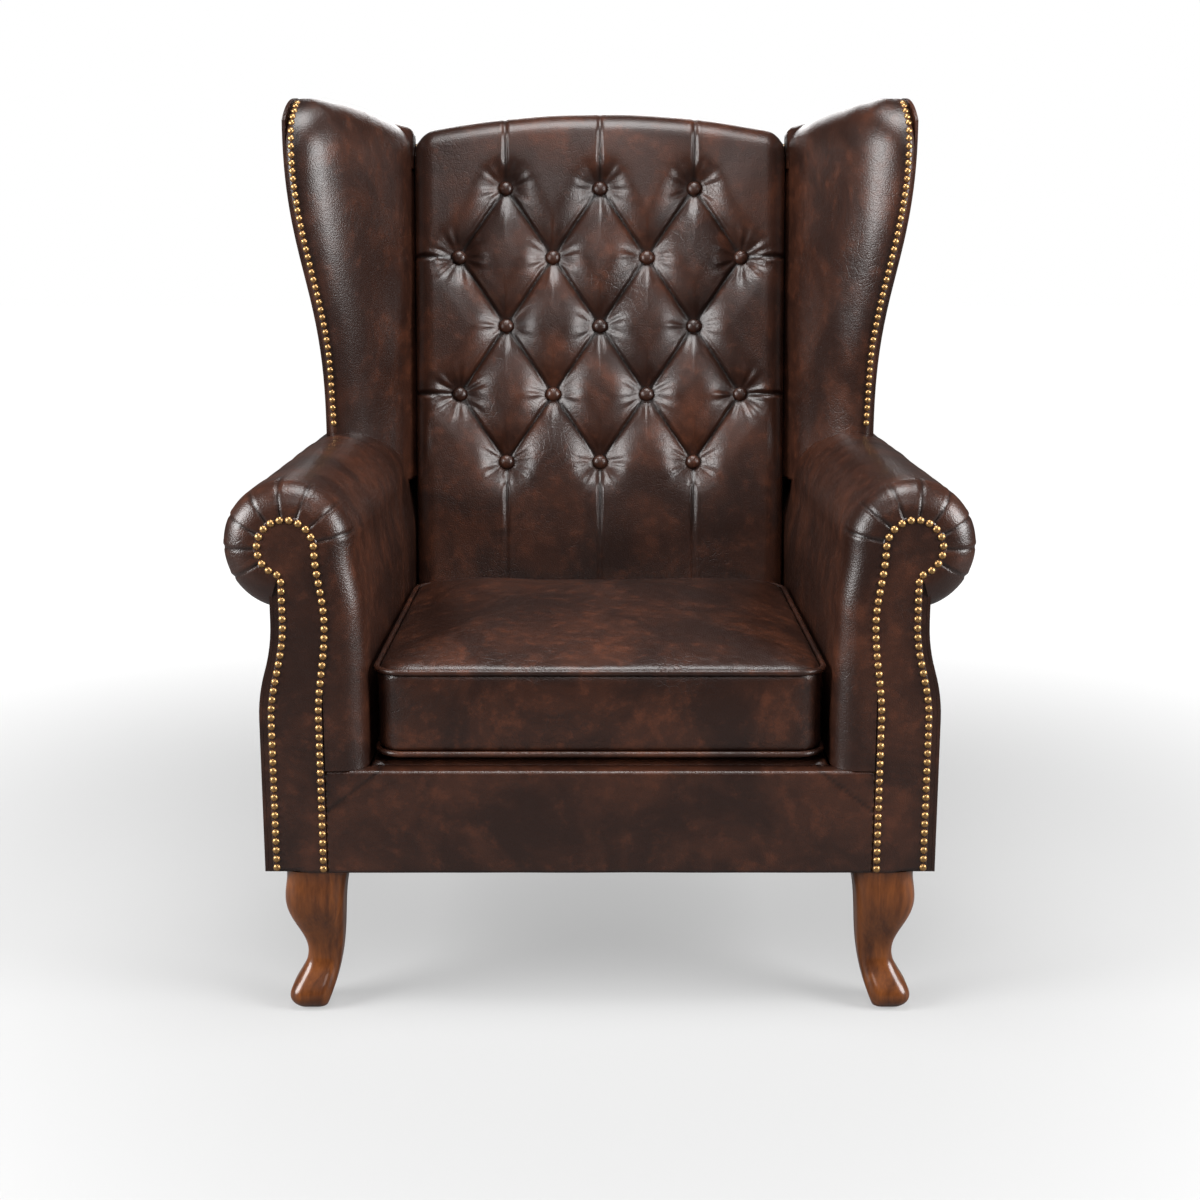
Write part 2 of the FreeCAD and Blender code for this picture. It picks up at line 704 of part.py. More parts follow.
def back_buttons():
    radius = size("button_radius")
    height = size("button_height")
    rim = height / 3
    seat = size("tuft_depth")
    dome = (radius ** 2 + (height - rim) ** 2) / (2 * (height - rim))
    cover = arc_step((0, dome - height), (radius, -rim), (0, -height))
    outline = wire(lambda across, out: Vector(across, out, 0), (0, 0), [(radius, 0), (radius, -rim), cover])
    button = Part.Face(outline).revolve(Vector(), Vector(0, 1, 0), 360)
    twine = Part.makeCylinder(size("twine_radius"), size("back_pad_depth") + size("soft_gap") - seat,
                              Vector(), Vector(0, 1, 0))
    buttons = []
    twines = []
    for column, row in tuft_places():
        spot = tuft_spot(column, row) + Vector(0, seat, 0)
        buttons.append(button.translated(spot))
        twines.append(twine.translated(spot))
    feature("back_buttons", Part.makeCompound(buttons)).Placement = back_place()
    feature("button_twines", Part.makeCompound(twines)).Placement = back_place()


# Upright straps behind each column of buttons, from the lower rail to the top rail.
def back_webbing():
    low = value(LOWER_RAIL)
    high = size("crest_rise") - size("crest_drop") - size("crest_pad") - size("top_rail_height") / 2
    front = size("back_pad_depth") + size("soft_gap")
    width = size("webbing_width")
    straps = []
    for column in range(-3, 4):
        corner = Vector(tuft_spot(column, 0).x - width / 2, front, low)
        straps.append(Part.makeBox(width, size("webbing_thickness"), high - low, corner))
    feature("back_webbing", Part.makeCompound(straps)).Placement = back_place()


def outside_back():
    narrow = of_sizes(f"{POST_OUTER} + $panel_thickness")
    foot = back_rise(BACK_PANEL, RAIL_BOTTOM)
    waist = back_rise(BACK_PANEL, ARM_SHOULDER)
    shoulder = back_rise(BACK_PANEL, of_sizes("$arm_roll_height"))
    corner = of_sizes("$crest_rise - $crest_drop - $crest_pad")
    arch = of_sizes(f"({narrow} ^ 2 + $crest_drop ^ 2) / (2 * $crest_drop)")
    corners = [(minus(FRAME_OUTER), foot), (FRAME_OUTER, foot), (FRAME_OUTER, waist), (narrow, shoulder),
               (narrow, corner), (minus(narrow), corner), (minus(narrow), shoulder),
               (minus(FRAME_OUTER), waist)]
    panel = padded_body("outside_back_panel", "XZ_Plane", corners, of_sizes("$panel_thickness"), {4: arch})
    place_in_back(panel, BACK_PANEL)


# Wings: plan sections at several heights, from the back's side to the flared front edge.
def wing_heights():
    low = size("arm_roll_height") + size("soft_gap")
    high = size("wing_top_height") + size("soft_gap")
    return [low + (high - low) * step / WING_STEPS for step in range(WING_STEPS + 1)]


def eased(height, low, high):
    share = min(max((height - low) / (high - low), 0), 1)
    return (1 - math.cos(math.pi * share)) / 2


def wing_front(height):
    across = value(WING_REAR) + size("wing_neck_spread")
    across += size("wing_flare") * eased(height, size("wing_neck_height"), size("wing_flare_height"))
    forward = size("wing_foot_reach") - size("wing_head_reach")
    lean = eased(height, size("arm_roll_height"), size("wing_flare_height"))
    return Vector(across, size("wing_foot_reach") - forward * lean, height)


def back_point(across, depth, height):
    return Vector(across, value(back_y(str(depth), back_rise(str(depth), str(height)))), height)


def wing_sections(kind):
    return [WING_LAYERS[kind](height) for height in wing_heights()]


def wing_pad_section(height):
    inset = Vector(-size("panel_thickness") - size("soft_gap"), 0, 0)
    crease_x = size("back_half_width") + 2 * size("soft_gap")
    front = wing_front(height) + inset
    edge = front + Vector(-size("wing_edge_width"), -size("wing_edge_turn"), 0)
    crease = back_point(crease_x, size("tuft_depth"), height)
    rear_inner = back_point(crease_x, value(POST_REAR), height)
    rear_outer = back_point(value(POST_OUTER) + size("soft_gap"), value(POST_REAR), height)
    nose = (front + edge) / 2 + Vector(0, -size("wing_nose"), 0)
    along = (crease - edge).normalize()
    belly = (edge + crease) / 2 + Vector(along.y, -along.x, 0) * size("wing_belly")
    edges = [Part.LineSegment(rear_inner, rear_outer).toShape(),
             Part.LineSegment(rear_outer, front).toShape(),
             Part.Arc(front, nose, edge).toShape(),
             Part.Arc(edge, belly, crease).toShape(),
             Part.LineSegment(crease, rear_inner).toShape()]
    return Part.Wire(edges)


def wing_slice(height, outer, inner, front_cut):
    front = wing_front(height)
    rear = back_point(value(WING_REAR), value(POST_REAR), height)
    along = (rear - front).normalize()
    front = front + along * front_cut
    points = [front + Vector(-outer, 0, 0), rear + Vector(-outer, 0, 0),
              rear + Vector(-inner, 0, 0), front + Vector(-inner, 0, 0)]
    return Part.makePolygon(points + points[:1])


def wing_panel_section(height):
    return wing_slice(height, 0, size("panel_thickness"), 0)


def wing_board_section(height):
    outer = size("panel_thickness") + 2 * size("soft_gap")
    inner = outer + size("wing_board_thickness")
    return wing_slice(height, outer, inner, size("wing_pad_wrap"))


def wing_room_section(height):
    outer = size("panel_thickness")
    inner = outer + size("wing_board_thickness") + 3 * size("soft_gap")
    return wing_slice(height, outer, inner, size("wing_pad_wrap") - size("soft_gap"))


WING_LAYERS = {"pad": wing_pad_section, "panel": wing_panel_section,
               "board": wing_board_section, "room": wing_room_section}


# The wing's profile from the side: the top rises forward and turns down over a round corner.
def wing_profile(drop):
    front = size("wing_head_reach") - size("wing_edge_turn") - size("wing_nose") + drop
    top = size("wing_top_height") - drop
    radius = size("wing_corner_radius") - drop
    rear = value(back_y(BACK_PANEL, of_sizes("$crest_rise")))
    low = size("rail_bottom")
    centre = (front + radius, top - radius)
    turn = arc_step(centre, (front + radius, top), (front, top - radius))
    reach = 2 * value(ROLL_X)
    steps = [(rear, top - size("wing_top_rise")), (front + radius, top), turn, (front, low)]
    face = Part.Face(wire(lambda depth, up: Vector(0, depth, up), (rear, low), steps))
    return face.extrude(Vector(reach, 0, 0))


def arm_room():
    gap = size("soft_gap")
    steps, stop = arm_side_steps(-gap, value(NECK_X) + gap)
    foot = (value(ARM_INNER) - gap, size("arm_foot"))
    rear = value(back_y(BACK_PANEL, of_sizes("$crest_rise")))
    return front_prism(size("arm_front"), rear, foot, steps + [(stop[0], size("arm_foot"))])


# Rounds the inner edge of the wing's top, where the pad turns over the board.
def rounded_top(pad):
    roof = size("wing_top_height") - size("wing_corner_radius")
    edges = []
    for edge in pad.Edges:
        spot = edge.valueAt((edge.FirstParameter + edge.LastParameter) / 2)
        outer = wing_front(spot.z).x - size("panel_thickness") - size("wing_edge_width")
        if edge.BoundBox.YLength > size("wing_corner_radius") and spot.z > roof and spot.x < outer:
            edges.append(edge)
    return pad.makeFillet(size("wing_top_round"), edges)


def wings():
    rear_edge = behind_back(value(POST_REAR))
    arm = arm_room()
    gap = size("soft_gap")
    top_room = size("crest_rise") - size("crest_drop") - size("crest_pad")
    top_room += value(RAIL_ARCH) - math.sqrt(value(RAIL_ARCH) ** 2 - value(POST_INNER) ** 2) + gap
    rail_room = Part.makeBox(value(POST_OUTER) + gap, size("post_depth") * 2, 4 * top_room,
                             Vector(0, size("back_pad_depth"), -3 * top_room))
    rail_room.Placement = back_place()
    solids = {kind: Part.makeLoft(wing_sections(kind), True, False) for kind in WING_LAYERS}
    board_top = wing_profile(size("wing_pad_wrap"))
    room_top = wing_profile(size("wing_pad_wrap") - gap)
    skin = wing_profile(0)
    room = solids["room"].common(room_top)
    stuffed = rounded_top(solids["pad"].common(skin))
    pad = stuffed.cut([rear_edge, arm, rail_room, room])
    panel = solids["panel"].common(skin).cut([rear_edge, arm])
    board = solids["board"].common(board_top).cut([behind_back(value(POST_FRONT)), arm])
    pair("wing_pad", pad)
    pair("outside_wing_panel", panel)
    pair("wing_board", board)
    return pad


# Seat: webbing on the rails, then cloth, pad and cover, with the padded border in front.
def seat_webbing():
    thick = size("webbing_thickness")
    width = size("webbing_width")
    low = value(RAIL_TOP)
    front = value(RAIL_FRONT)
    rear = value(back_y(POST_REAR, back_rise(POST_REAR, RAIL_TOP)))
    side = value(FRAME_OUTER)
    cross_pitch = (rear - front) / (CROSS_STRAPS + 1)
    cross = []
    for step in range(1, CROSS_STRAPS + 1):
        corner = Vector(-side, front + step * cross_pitch - width / 2, low)
        cross.append(Part.makeBox(2 * side, width, thick, corner))
    long_pitch = 2 * size("seat_half_width") / LONG_STRAPS
    first = -size("seat_half_width") + long_pitch / 2
    lengthwise = []
    for step in range(LONG_STRAPS):
        corner = Vector(first + step * long_pitch - width / 2, front, low + thick)
        lengthwise.append(Part.makeBox(width, rear - front, thick, corner))
    feature("seat_cross_webbing", Part.makeCompound(cross))
    feature("seat_long_webbing", Part.makeCompound(lengthwise))


def seat_deck():
    half = of_sizes(f"{ARM_INNER} - $soft_gap")
    across = (minus(half), half)
    rear = back_y(of_sizes("$back_pad_depth"), back_rise(of_sizes("$back_pad_depth"), RAIL_TOP))
    along = (RAIL_FRONT, rear)
    box("deck_cloth", across, along, (DECK_CLOTH, of_sizes(f"{DECK_CLOTH} + $deck_cloth_thickness")))
    box("deck_pad", across, along, (DECK_PAD, of_sizes(f"{DECK_PAD} + $deck_pad_thickness")))
    box("platform_cover", across, along, (PLATFORM, of_sizes(f"{PLATFORM} + $platform_thickness")))


def front_border():
    half = of_sizes(f"{FRAME_INNER} - $soft_gap")
    top = of_sizes("$arm_foot - $soft_gap")
    box("front_rail_pad", (minus(half), half), (BOARD_FRONT, RAIL_FRONT), (RAIL_BOTTOM, top))
    wide = of_sizes(f"{ARM_OUTER} - $facing_margin - $facing_foot_width - $soft_gap")
    front = of_sizes("$arm_front + $soft_gap")
    turn = of_sizes(f"{BOARD_FRONT} - {front} - $soft_gap")
    corners = [(front, RAIL_BOTTOM), (BOARD_FRONT, RAIL_BOTTOM), (BOARD_FRONT, top),
               (of_sizes(f"{front} + {turn}"), top), (front, of_sizes(f"{top} - {turn}"))]
    cover = padded_body("front_rail_cover", "YZ_Plane", corners, of_sizes(f"2 * {wide}"), {3: turn})
    cover.setExpression("Placement.Base.x", minus(wide))


# Cushion: crowned sections across the seat, trimmed by drawn-in ends and round corners.
def cushion_section(depth, inset, share):
    half = size("seat_half_width") - inset
    low = value(SEAM_LOW) + inset
    high = value(SEAM_HIGH) - inset
    draw = size("cushion_draw")
    crown = size("cushion_crown") * share
    sag = size("cushion_seam_rise") * share
    middle = (low + high) / 2
    steps = [((0, low - sag), (half, low)), ((half - draw, middle), (half, high)),
             ((0, high + crown), (-half, high)), ((-half + draw, middle), (-half, low))]
    return front_wire(depth, (-half, low), steps)


def cushion_form(inset):
    front = size("cushion_front") + inset
    rear = size("cushion_rear") - inset
    low = value(SEAM_LOW) + inset
    high = value(SEAM_HIGH) - inset
    over = size("cushion_draw")
    stations = len(CROWN_SHARES) - 1
    sections = []
    for index, share in enumerate(CROWN_SHARES):
        depth = front - over + (rear - front + 2 * over) * index / stations
        sections.append(cushion_section(depth, inset, share))
    crowned = Part.makeLoft(sections, True, False)
    middle = (low + high) / 2
    ceiling = high + 2 * size("cushion_crown")
    floor = low - 2 * size("cushion_seam_rise")
    steps = [(front, low), ((front + over, middle), (front, high)), (front, ceiling), (rear, ceiling),
             (rear, high), ((rear - over, middle), (rear, low)), (rear, floor)]
    side_face = Part.Face(wire(lambda depth, up: Vector(-value(ARM_INNER), depth, up), (front, floor), steps))
    ends = side_face.extrude(Vector(2 * value(ARM_INNER), 0, 0))
    return crowned.common(ends).cut(cushion_corners(inset, floor, ceiling))


# What the cushion's round corners take away, just outside the seam's own corner arcs.
def cushion_corners(inset, floor, ceiling):
    radius = size("cushion_corner")
    across = size("seat_half_width") - radius
    tools = []
    for depth, low in ((size("cushion_front") + radius, -2 * radius), (size("cushion_rear") - radius, 0)):
        centre = Vector(across, depth, floor)
        block = Part.makeBox(2 * radius, 2 * radius, ceiling - floor, centre + Vector(0, low, 0))
        post = Part.makeCylinder(radius + size("soft_gap") - inset, ceiling - floor, centre)
        tool = block.cut(post)
        tools += [tool, mirrored(tool)]
    return tools


# The seam's plan: a rectangle with round corners.
def seam_wire(height):
    half = size("seat_half_width")
    front = size("cushion_front")
    rear = size("cushion_rear")
    radius = size("cushion_corner")
    near = radius * (1 - math.sqrt(0.5))
    steps = [(half - radius, front), ((half - near, front + near), (half, front + radius)),
             (half, rear - radius), ((half - near, rear - near), (half - radius, rear)),
             (-half + radius, rear), ((-half + near, rear - near), (-half, rear - radius)),
             (-half, front + radius), ((-half + near, front + near), (-half + radius, front))]
    return wire(lambda across, depth: Vector(across, depth, height), (-half + radius, front), steps)


def piping(height, radius):
    path = seam_wire(height)
    start = Vector(0, size("cushion_front"), height)
    ring = Part.Wire(Part.Circle(start, Vector(1, 0, 0), radius).toShape())
    return path.makePipeShell([ring], True, True)


def seat_cushion():
    wall = size("cushion_wall")
    gap = size("soft_gap")
    cover = cushion_form(0).cut(cushion_form(wall))
    for label, seam in (("cushion_top_piping", SEAM_HIGH), ("cushion_bottom_piping", SEAM_LOW)):
        height = value(seam)
        cover = cover.cut(piping(height, size("piping_radius") + gap))
        feature(label, piping(height, size("piping_radius")))
    feature("cushion_cover", cover)
    feature("cushion_foam", cushion_form(wall + gap))
    middle = of_sizes(f"{SEAM_LOW} + $cushion_boxing / 2")
    low = of_sizes(f"{middle} - $zip_width / 2")
    face = of_sizes("$cushion_rear - $cushion_draw + 2 * $soft_gap")
    outer = of_sizes(f"{face} + $zip_thickness")
    half = of_sizes("$zip_half_length")
    box("cushion_zip", (minus(half), half), (face, outer), (low, of_sizes(f"{low} + $zip_width")))
    grip = of_sizes(f"{outer} + $soft_gap")
    grip_end = of_sizes("$zip_half_length - $zip_slider_length")
    box("zip_slider", (of_sizes(f"{grip_end} - $zip_slider_length"), grip_end),
        (grip, of_sizes(f"{grip} + $zip_thickness")),
        (of_sizes(f"{middle} - $zip_width / 4"), of_sizes(f"{middle} + $zip_width / 4")))


# Legs.
def rounded_square(centre, width):
    half = width / 2
    radius = width * LEG_CORNER
    near = radius * (1 - math.sqrt(0.5))
    steps = [(half - radius, -half), ((half - near, -half + near), (half, -half + radius)),
             (half, half - radius), ((half - near, half - near), (half - radius, half)),
             (-half + radius, half), ((-half + near, half - near), (-half, half - radius)),
             (-half, -half + radius), ((-half + near, -half + near), (-half + radius, -half))]
    return wire(lambda across, depth: centre + Vector(across, depth, 0), (-half + radius, -half), steps)


# A cabriole leg swells at the knee, draws in at the ankle and turns its toe out to the corner.
def front_legs():
    top = size("rail_bottom")
    widths = (size("front_leg_width"), size("front_leg_ankle"), size("front_leg_toe"))
    out = size("front_leg_toe_out")
    floor = size("glide_height")
    centre = Vector(size("front_leg_x"), size("front_leg_y"), 0)
    sections = []
    for down, turn, shares in LEG_STATIONS:
        spot = centre + Vector(turn * out, -turn * out, top - down * (top - floor))
        width = sum(share * part for share, part in zip(shares, widths))
        sections.append(rounded_square(spot, width))
    leg = Part.makeLoft(sections, True, False)
    bolt_x, bolt_y = front_bolt_place()
    reach = size("leg_bolt_length") / 2
    bolt_foot = Vector(bolt_x, bolt_y, top - reach)
    bore = Part.makeCylinder(size("leg_bolt_radius") + size("bore_gap"), 2 * reach, bolt_foot)
    pair("front_leg", leg.cut(bore))
    bolt = Part.makeCylinder(size("leg_bolt_radius"), 2 * reach, bolt_foot)
    glide = Part.makeCylinder(size("glide_radius"), floor, centre + Vector(out, -out, 0))
    return [bolt], [glide]


# A plain rear leg carries on from the post and rakes back to the floor.
def rear_legs():
    foot = value(back_rise(POST_REAR, RAIL_BOTTOM))
    place = back_place()
    middle_x = (value(POST_INNER) + value(POST_OUTER)) / 2
    middle_depth = (value(POST_FRONT) + value(POST_REAR)) / 2
    half = size("rear_leg_width") / 2
    corners = ((-half, -half), (half, -half), (half, half), (-half, half))
    head = [place.multVec(Vector(middle_x + across, middle_depth + deep, foot)) for across, deep in corners]
    tip = size("rear_leg_foot") / size("rear_leg_width")
    centre = place.multVec(Vector(middle_x, middle_depth, foot)) + Vector(0, size("rear_leg_rake"), 0)
    floor = size("glide_height")
    toe = [Vector(centre.x + across * tip, centre.y + deep * tip, floor) for across, deep in corners]
    sections = [Part.makePolygon(points + points[:1]) for points in (head, toe)]
    leg = Part.makeLoft(sections, True, True)
    pair("rear_leg", leg.cut(rear_bolt(size("bore_gap"))))
    glide = Part.makeCylinder(size("glide_radius"), floor, Vector(centre.x, centre.y, 0))
    return [rear_bolt(0)], [glide]


def leg_hardware(front, rear):
    for label, index in (("leg_bolts", 0), ("floor_glides", 1)):
        solids = front[index] + rear[index]
        feature(label, Part.makeCompound(solids + [mirrored(solid) for solid in solids]))


def dust_cover():
    top = size("rail_bottom")
    thick = size("dust_cover_thickness")
    side = value(FRAME_OUTER)
    rear = value(back_y(POST_REAR, back_rise(POST_REAR, RAIL_BOTTOM)))
    front = value(RAIL_FRONT)
    sheet_box = Part.makeBox(2 * side, rear - front, thick, Vector(-side, front, top - thick))
    room = size("front_leg_width") / 2 + size("front_leg_toe_out")
    half = size("rear_leg_width") / 2 + thick
    low = top - 2 * thick
    post = (value(POST_INNER) + value(POST_OUTER)) / 2
    front_cut = Part.makeBox(2 * room, 2 * room, 3 * thick,
                             Vector(size("front_leg_x") - room, size("front_leg_y") - room, low))
    rear_cut = Part.makeBox(2 * half, 4 * half, 3 * thick, Vector(post - half, rear - 3 * half, low))
    cuts = [front_cut, rear_cut, mirrored(front_cut), mirrored(rear_cut)]
    feature("dust_cover", sheet_box.cut(cuts))


# Brass nails: low six-sided heads, seated on the leather along a line.
def nail_head(spot, normal):
    radius = size("nail_radius")
    turn = Rotation(Vector(0, 0, 1), normal)
    rings = []
    for height, spread in ((0, radius), (size("nail_height"), radius * NAIL_TIP)):
        points = []
        for corner in range(NAIL_SIDES):
            angle = 2 * math.pi * corner / NAIL_SIDES
            flat = Vector(spread * math.cos(angle), spread * math.sin(angle), height)
            points.append(spot + turn.multVec(flat))
        rings.append(Part.makePolygon(points + points[:1]))
    return Part.makeLoft(rings, True, True)


def arm_nails():
    inset = size("nail_radius") + size("soft_gap")
    start, steps = facing_outline(inset)
    edges = front_wire(size("arm_front"), start, steps).OrderedEdges[:-1]
    trim = Part.Wire(edges)
    count = int(trim.Length / size("nail_pitch")) + 1
    heads = [nail_head(spot, Vector(0, -1, 0)) for spot in trim.discretize(Number=count)]
    pair("arm_nails", Part.makeCompound(heads))


# The way out of the wing's front edge: straight ahead, then fanning up round the top corner.
def wing_outward(spot):
    radius = size("wing_corner_radius")
    centre = Vector(spot.x, size("wing_head_reach") + radius, size("wing_top_height") - radius)
    if spot.z < centre.z:
        return Vector(0, -1, 0)
    return (spot - centre).normalize()


def wing_nail_line():
    low = size("arm_roll_height") + size("arm_roll_radius") + size("nail_pitch")
    radius = size("wing_corner_radius")
    high = size("wing_top_height") - radius
    inset = size("panel_thickness") + size("nail_radius") + size("soft_gap")
    line = []
    for step in range(WING_STEPS + 1):
        spot = wing_front(low + (high - low) * step / WING_STEPS)
        line.append(spot - Vector(inset, size("wing_edge_turn"), 0))
    for step in range(1, WING_STEPS + 1):
        angle = math.radians(size("wing_nail_turn") * step / WING_STEPS)
        rise = high + radius * math.sin(angle)
        depth = size("wing_head_reach") - size("wing_edge_turn") + radius * (1 - math.cos(angle))
        line.append(Vector(wing_front(rise).x - inset, depth, rise))
    return Part.makePolygon(line)


def wing_nails(pad):
    trim = wing_nail_line()
    count = int(trim.Length / size("nail_pitch")) + 1
    heads = []
    for spot in trim.discretize(Number=count):
        ahead = spot + wing_outward(spot) * 4 * size("wing_nose")
        nearest = pad.distToShape(Part.Vertex(ahead))[1][0][0]
        normal = (ahead - nearest).normalize()
        heads.append(nail_head(nearest + normal * 2 * size("soft_gap"), normal))
    pair("wing_nails", Part.makeCompound(heads))


seat_frame()
corner_blocks()
back_frame()
arm_pad()
arm_facing()
scroll_board()
outside_arm_panel()
arm_rail()
arm_lining()
tufted_back()
back_buttons()
back_webbing()
outside_back()
wing_nails(wings())
arm_nails()
seat_webbing()
seat_deck()
front_border()
seat_cushion()
leg_hardware(front_legs(), rear_legs())
dust_cover()
doc.recompute()

HELPERS = ("_log", "rear_limit")
os.makedirs("parts", exist_ok=True)
pieces = []
for item in doc.Objects:
    if "Invalid" in item.State or "Error" in item.State:
        raise RuntimeError(f"{item.Label} failed")
    is_piece = item.TypeId.startswith("Part::") or item.TypeId == "PartDesign::Body"
    if is_piece and not item.Label.endswith(HELPERS):
        pieces.append(item)
for piece in pieces:
    if piece.Shape.isNull() or not piece.Shape.isValid():
        raise RuntimeError(f"{piece.Label} has no sound shape")
for piece in pieces:
    piece.Shape.exportStep(f"parts/{piece.Label}.step")
print(len(pieces), "pieces written")
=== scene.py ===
import json
import math
from contextlib import contextmanager

import bmesh
import bpy
import numpy as np
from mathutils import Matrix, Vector, noise
from mathutils.bvhtree import BVHTree


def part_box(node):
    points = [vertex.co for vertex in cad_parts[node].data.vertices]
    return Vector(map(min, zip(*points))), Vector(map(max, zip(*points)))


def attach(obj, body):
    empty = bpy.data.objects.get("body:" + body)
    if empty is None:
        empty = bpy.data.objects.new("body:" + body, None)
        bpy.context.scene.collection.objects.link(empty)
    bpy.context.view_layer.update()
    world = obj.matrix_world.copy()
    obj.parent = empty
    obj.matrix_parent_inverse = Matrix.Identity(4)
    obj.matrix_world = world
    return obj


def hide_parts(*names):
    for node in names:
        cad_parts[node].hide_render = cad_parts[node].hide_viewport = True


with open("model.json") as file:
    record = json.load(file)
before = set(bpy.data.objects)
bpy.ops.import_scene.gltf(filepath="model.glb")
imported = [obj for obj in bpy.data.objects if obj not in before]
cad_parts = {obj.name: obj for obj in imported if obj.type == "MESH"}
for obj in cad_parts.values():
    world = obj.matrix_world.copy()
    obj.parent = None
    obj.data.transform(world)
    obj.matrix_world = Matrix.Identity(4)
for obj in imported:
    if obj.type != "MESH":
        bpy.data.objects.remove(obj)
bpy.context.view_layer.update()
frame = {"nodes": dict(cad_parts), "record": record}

mm = 0.001
mergeReach = 1e-6  # metres
nodes = frame["nodes"]
sides = ((1, "right"), (-1, "left"))


def placeInScene(name, data):
    made = bpy.data.objects.new(name, data)
    bpy.context.scene.collection.objects.link(made)
    return made


def smoothFaces(mesh):
    mesh.polygons.foreach_set("use_smooth", np.ones(len(mesh.polygons), bool))


# Meshes from numpy grids, all in millimetres until the last step.
def meshObject(name, points, faces):
    mesh = bpy.data.meshes.new(name)
    mesh.from_pydata((np.asarray(points, float) * mm).tolist(), [], faces)
    smoothFaces(mesh)
    mesh.update()
    return placeInScene(name, mesh)


def gridFaces(rows, columns, ring=False):
    index = np.arange(rows * columns).reshape(rows, columns)
    right = np.roll(index, -1, axis=1) if ring else index[:, 1:]
    left = index if ring else index[:, :-1]
    quads = np.stack([left[:-1], right[:-1], right[1:], left[1:]], axis=-1)
    return quads.reshape(-1, 4).tolist()


def gridObject(name, grid, flip=False):
    faces = gridFaces(*grid.shape[:2])
    if flip:
        faces = [face[::-1] for face in faces]
    return meshObject(name, grid.reshape(-1, 3), faces)


# Rings of points joined in order, with one face over each end, to be turned outwards by openMesh.
def cappedTube(name, rings):
    rows, count = rings.shape[:2]
    faces = gridFaces(rows, count, ring=True)
    faces += [list(range(count)), list(range((rows - 1) * count, rows * count))]
    return meshObject(name, rings.reshape(-1, 3), faces)


def rimIndex(shape):
    index = np.arange(shape[0] * shape[1]).reshape(shape)
    return np.r_[index[0, :-1], index[:-1, -1], index[-1, :0:-1], index[:0:-1, 0]]


# A piece's mesh opened for editing, and put back with every face turned outwards.
@contextmanager
def openMesh(piece):
    body = bmesh.new()
    body.from_mesh(piece.data)
    body.verts.ensure_lookup_table()
    yield body
    bmesh.ops.recalc_face_normals(body, faces=body.faces)
    body.to_mesh(piece.data)
    body.free()


# Closes a skin on its hidden side: a wall from its rim to hidden points, and one flat face over them.
def sealBehind(piece, shape, behind):
    with openMesh(piece) as body:
        ring = [body.verts[int(spot)] for spot in rimIndex(shape)]
        hidden = behind(np.array([corner.co for corner in ring]) / mm) * mm
        added = [body.verts.new(Vector(spot)) for spot in hidden]
        for here in range(len(ring)):
            after = (here + 1) % len(ring)
            body.faces.new((ring[here], ring[after], added[after], added[here]))
        body.faces.new(added)
        bmesh.ops.remove_doubles(body, verts=ring + added, dist=mergeReach)


def mergeDoubles(piece):
    with openMesh(piece) as body:
        bmesh.ops.remove_doubles(body, verts=body.verts, dist=mergeReach)
        bmesh.ops.dissolve_degenerate(body, edges=body.edges, dist=mergeReach / 10)


def setAttribute(piece, name, values):
    layer = piece.data.attributes.new(name, "FLOAT", "POINT")
    layer.data.foreach_set("value", np.asarray(values, np.float32).ravel())


def noiseField(points, scale, seed):
    shift = Vector((seed, seed * 0.7, -seed))
    values = [noise.noise(Vector(point) * scale + shift) for point in points.reshape(-1, 3)]
    return np.array(values).reshape(points.shape[:-1])


def smoothStep(value, low, high):
    share = np.clip((value - low) / (high - low), 0, 1)
    return share * share * (3 - 2 * share)


def easedShare(value, low, high):
    return (1 - np.cos(np.pi * np.clip((value - low) / (high - low), 0, 1))) / 2


def evenPoints(line, pitch):
    length = np.r_[0, np.cumsum(np.linalg.norm(np.diff(line, axis=0), axis=1))]
    even = np.linspace(0, length[-1], int(length[-1] / pitch) + 1)
    return np.stack([np.interp(even, length, line[:, axis]) for axis in range(line.shape[1])], -1)


# The back's own reclined plane: x across, depth towards the rear, rise up the back.
backPlane = {"recline": math.radians(7.3), "faceY": 207.4, "faceZ": 582.0}
backLean, backUpright = math.sin(backPlane["recline"]), math.cos(backPlane["recline"])


def backToSpace(across, depth, rise):
    y = backPlane["faceY"] + depth * backUpright + rise * backLean
    z = backPlane["faceZ"] - depth * backLean + rise * backUpright
    return np.stack(np.broadcast_arrays(across, y, z), axis=-1)


def backDepthY(depth, height):
    rise = (height - backPlane["faceZ"] + depth * backLean) / backUpright
    return backPlane["faceY"] + depth * backUpright + rise * backLean


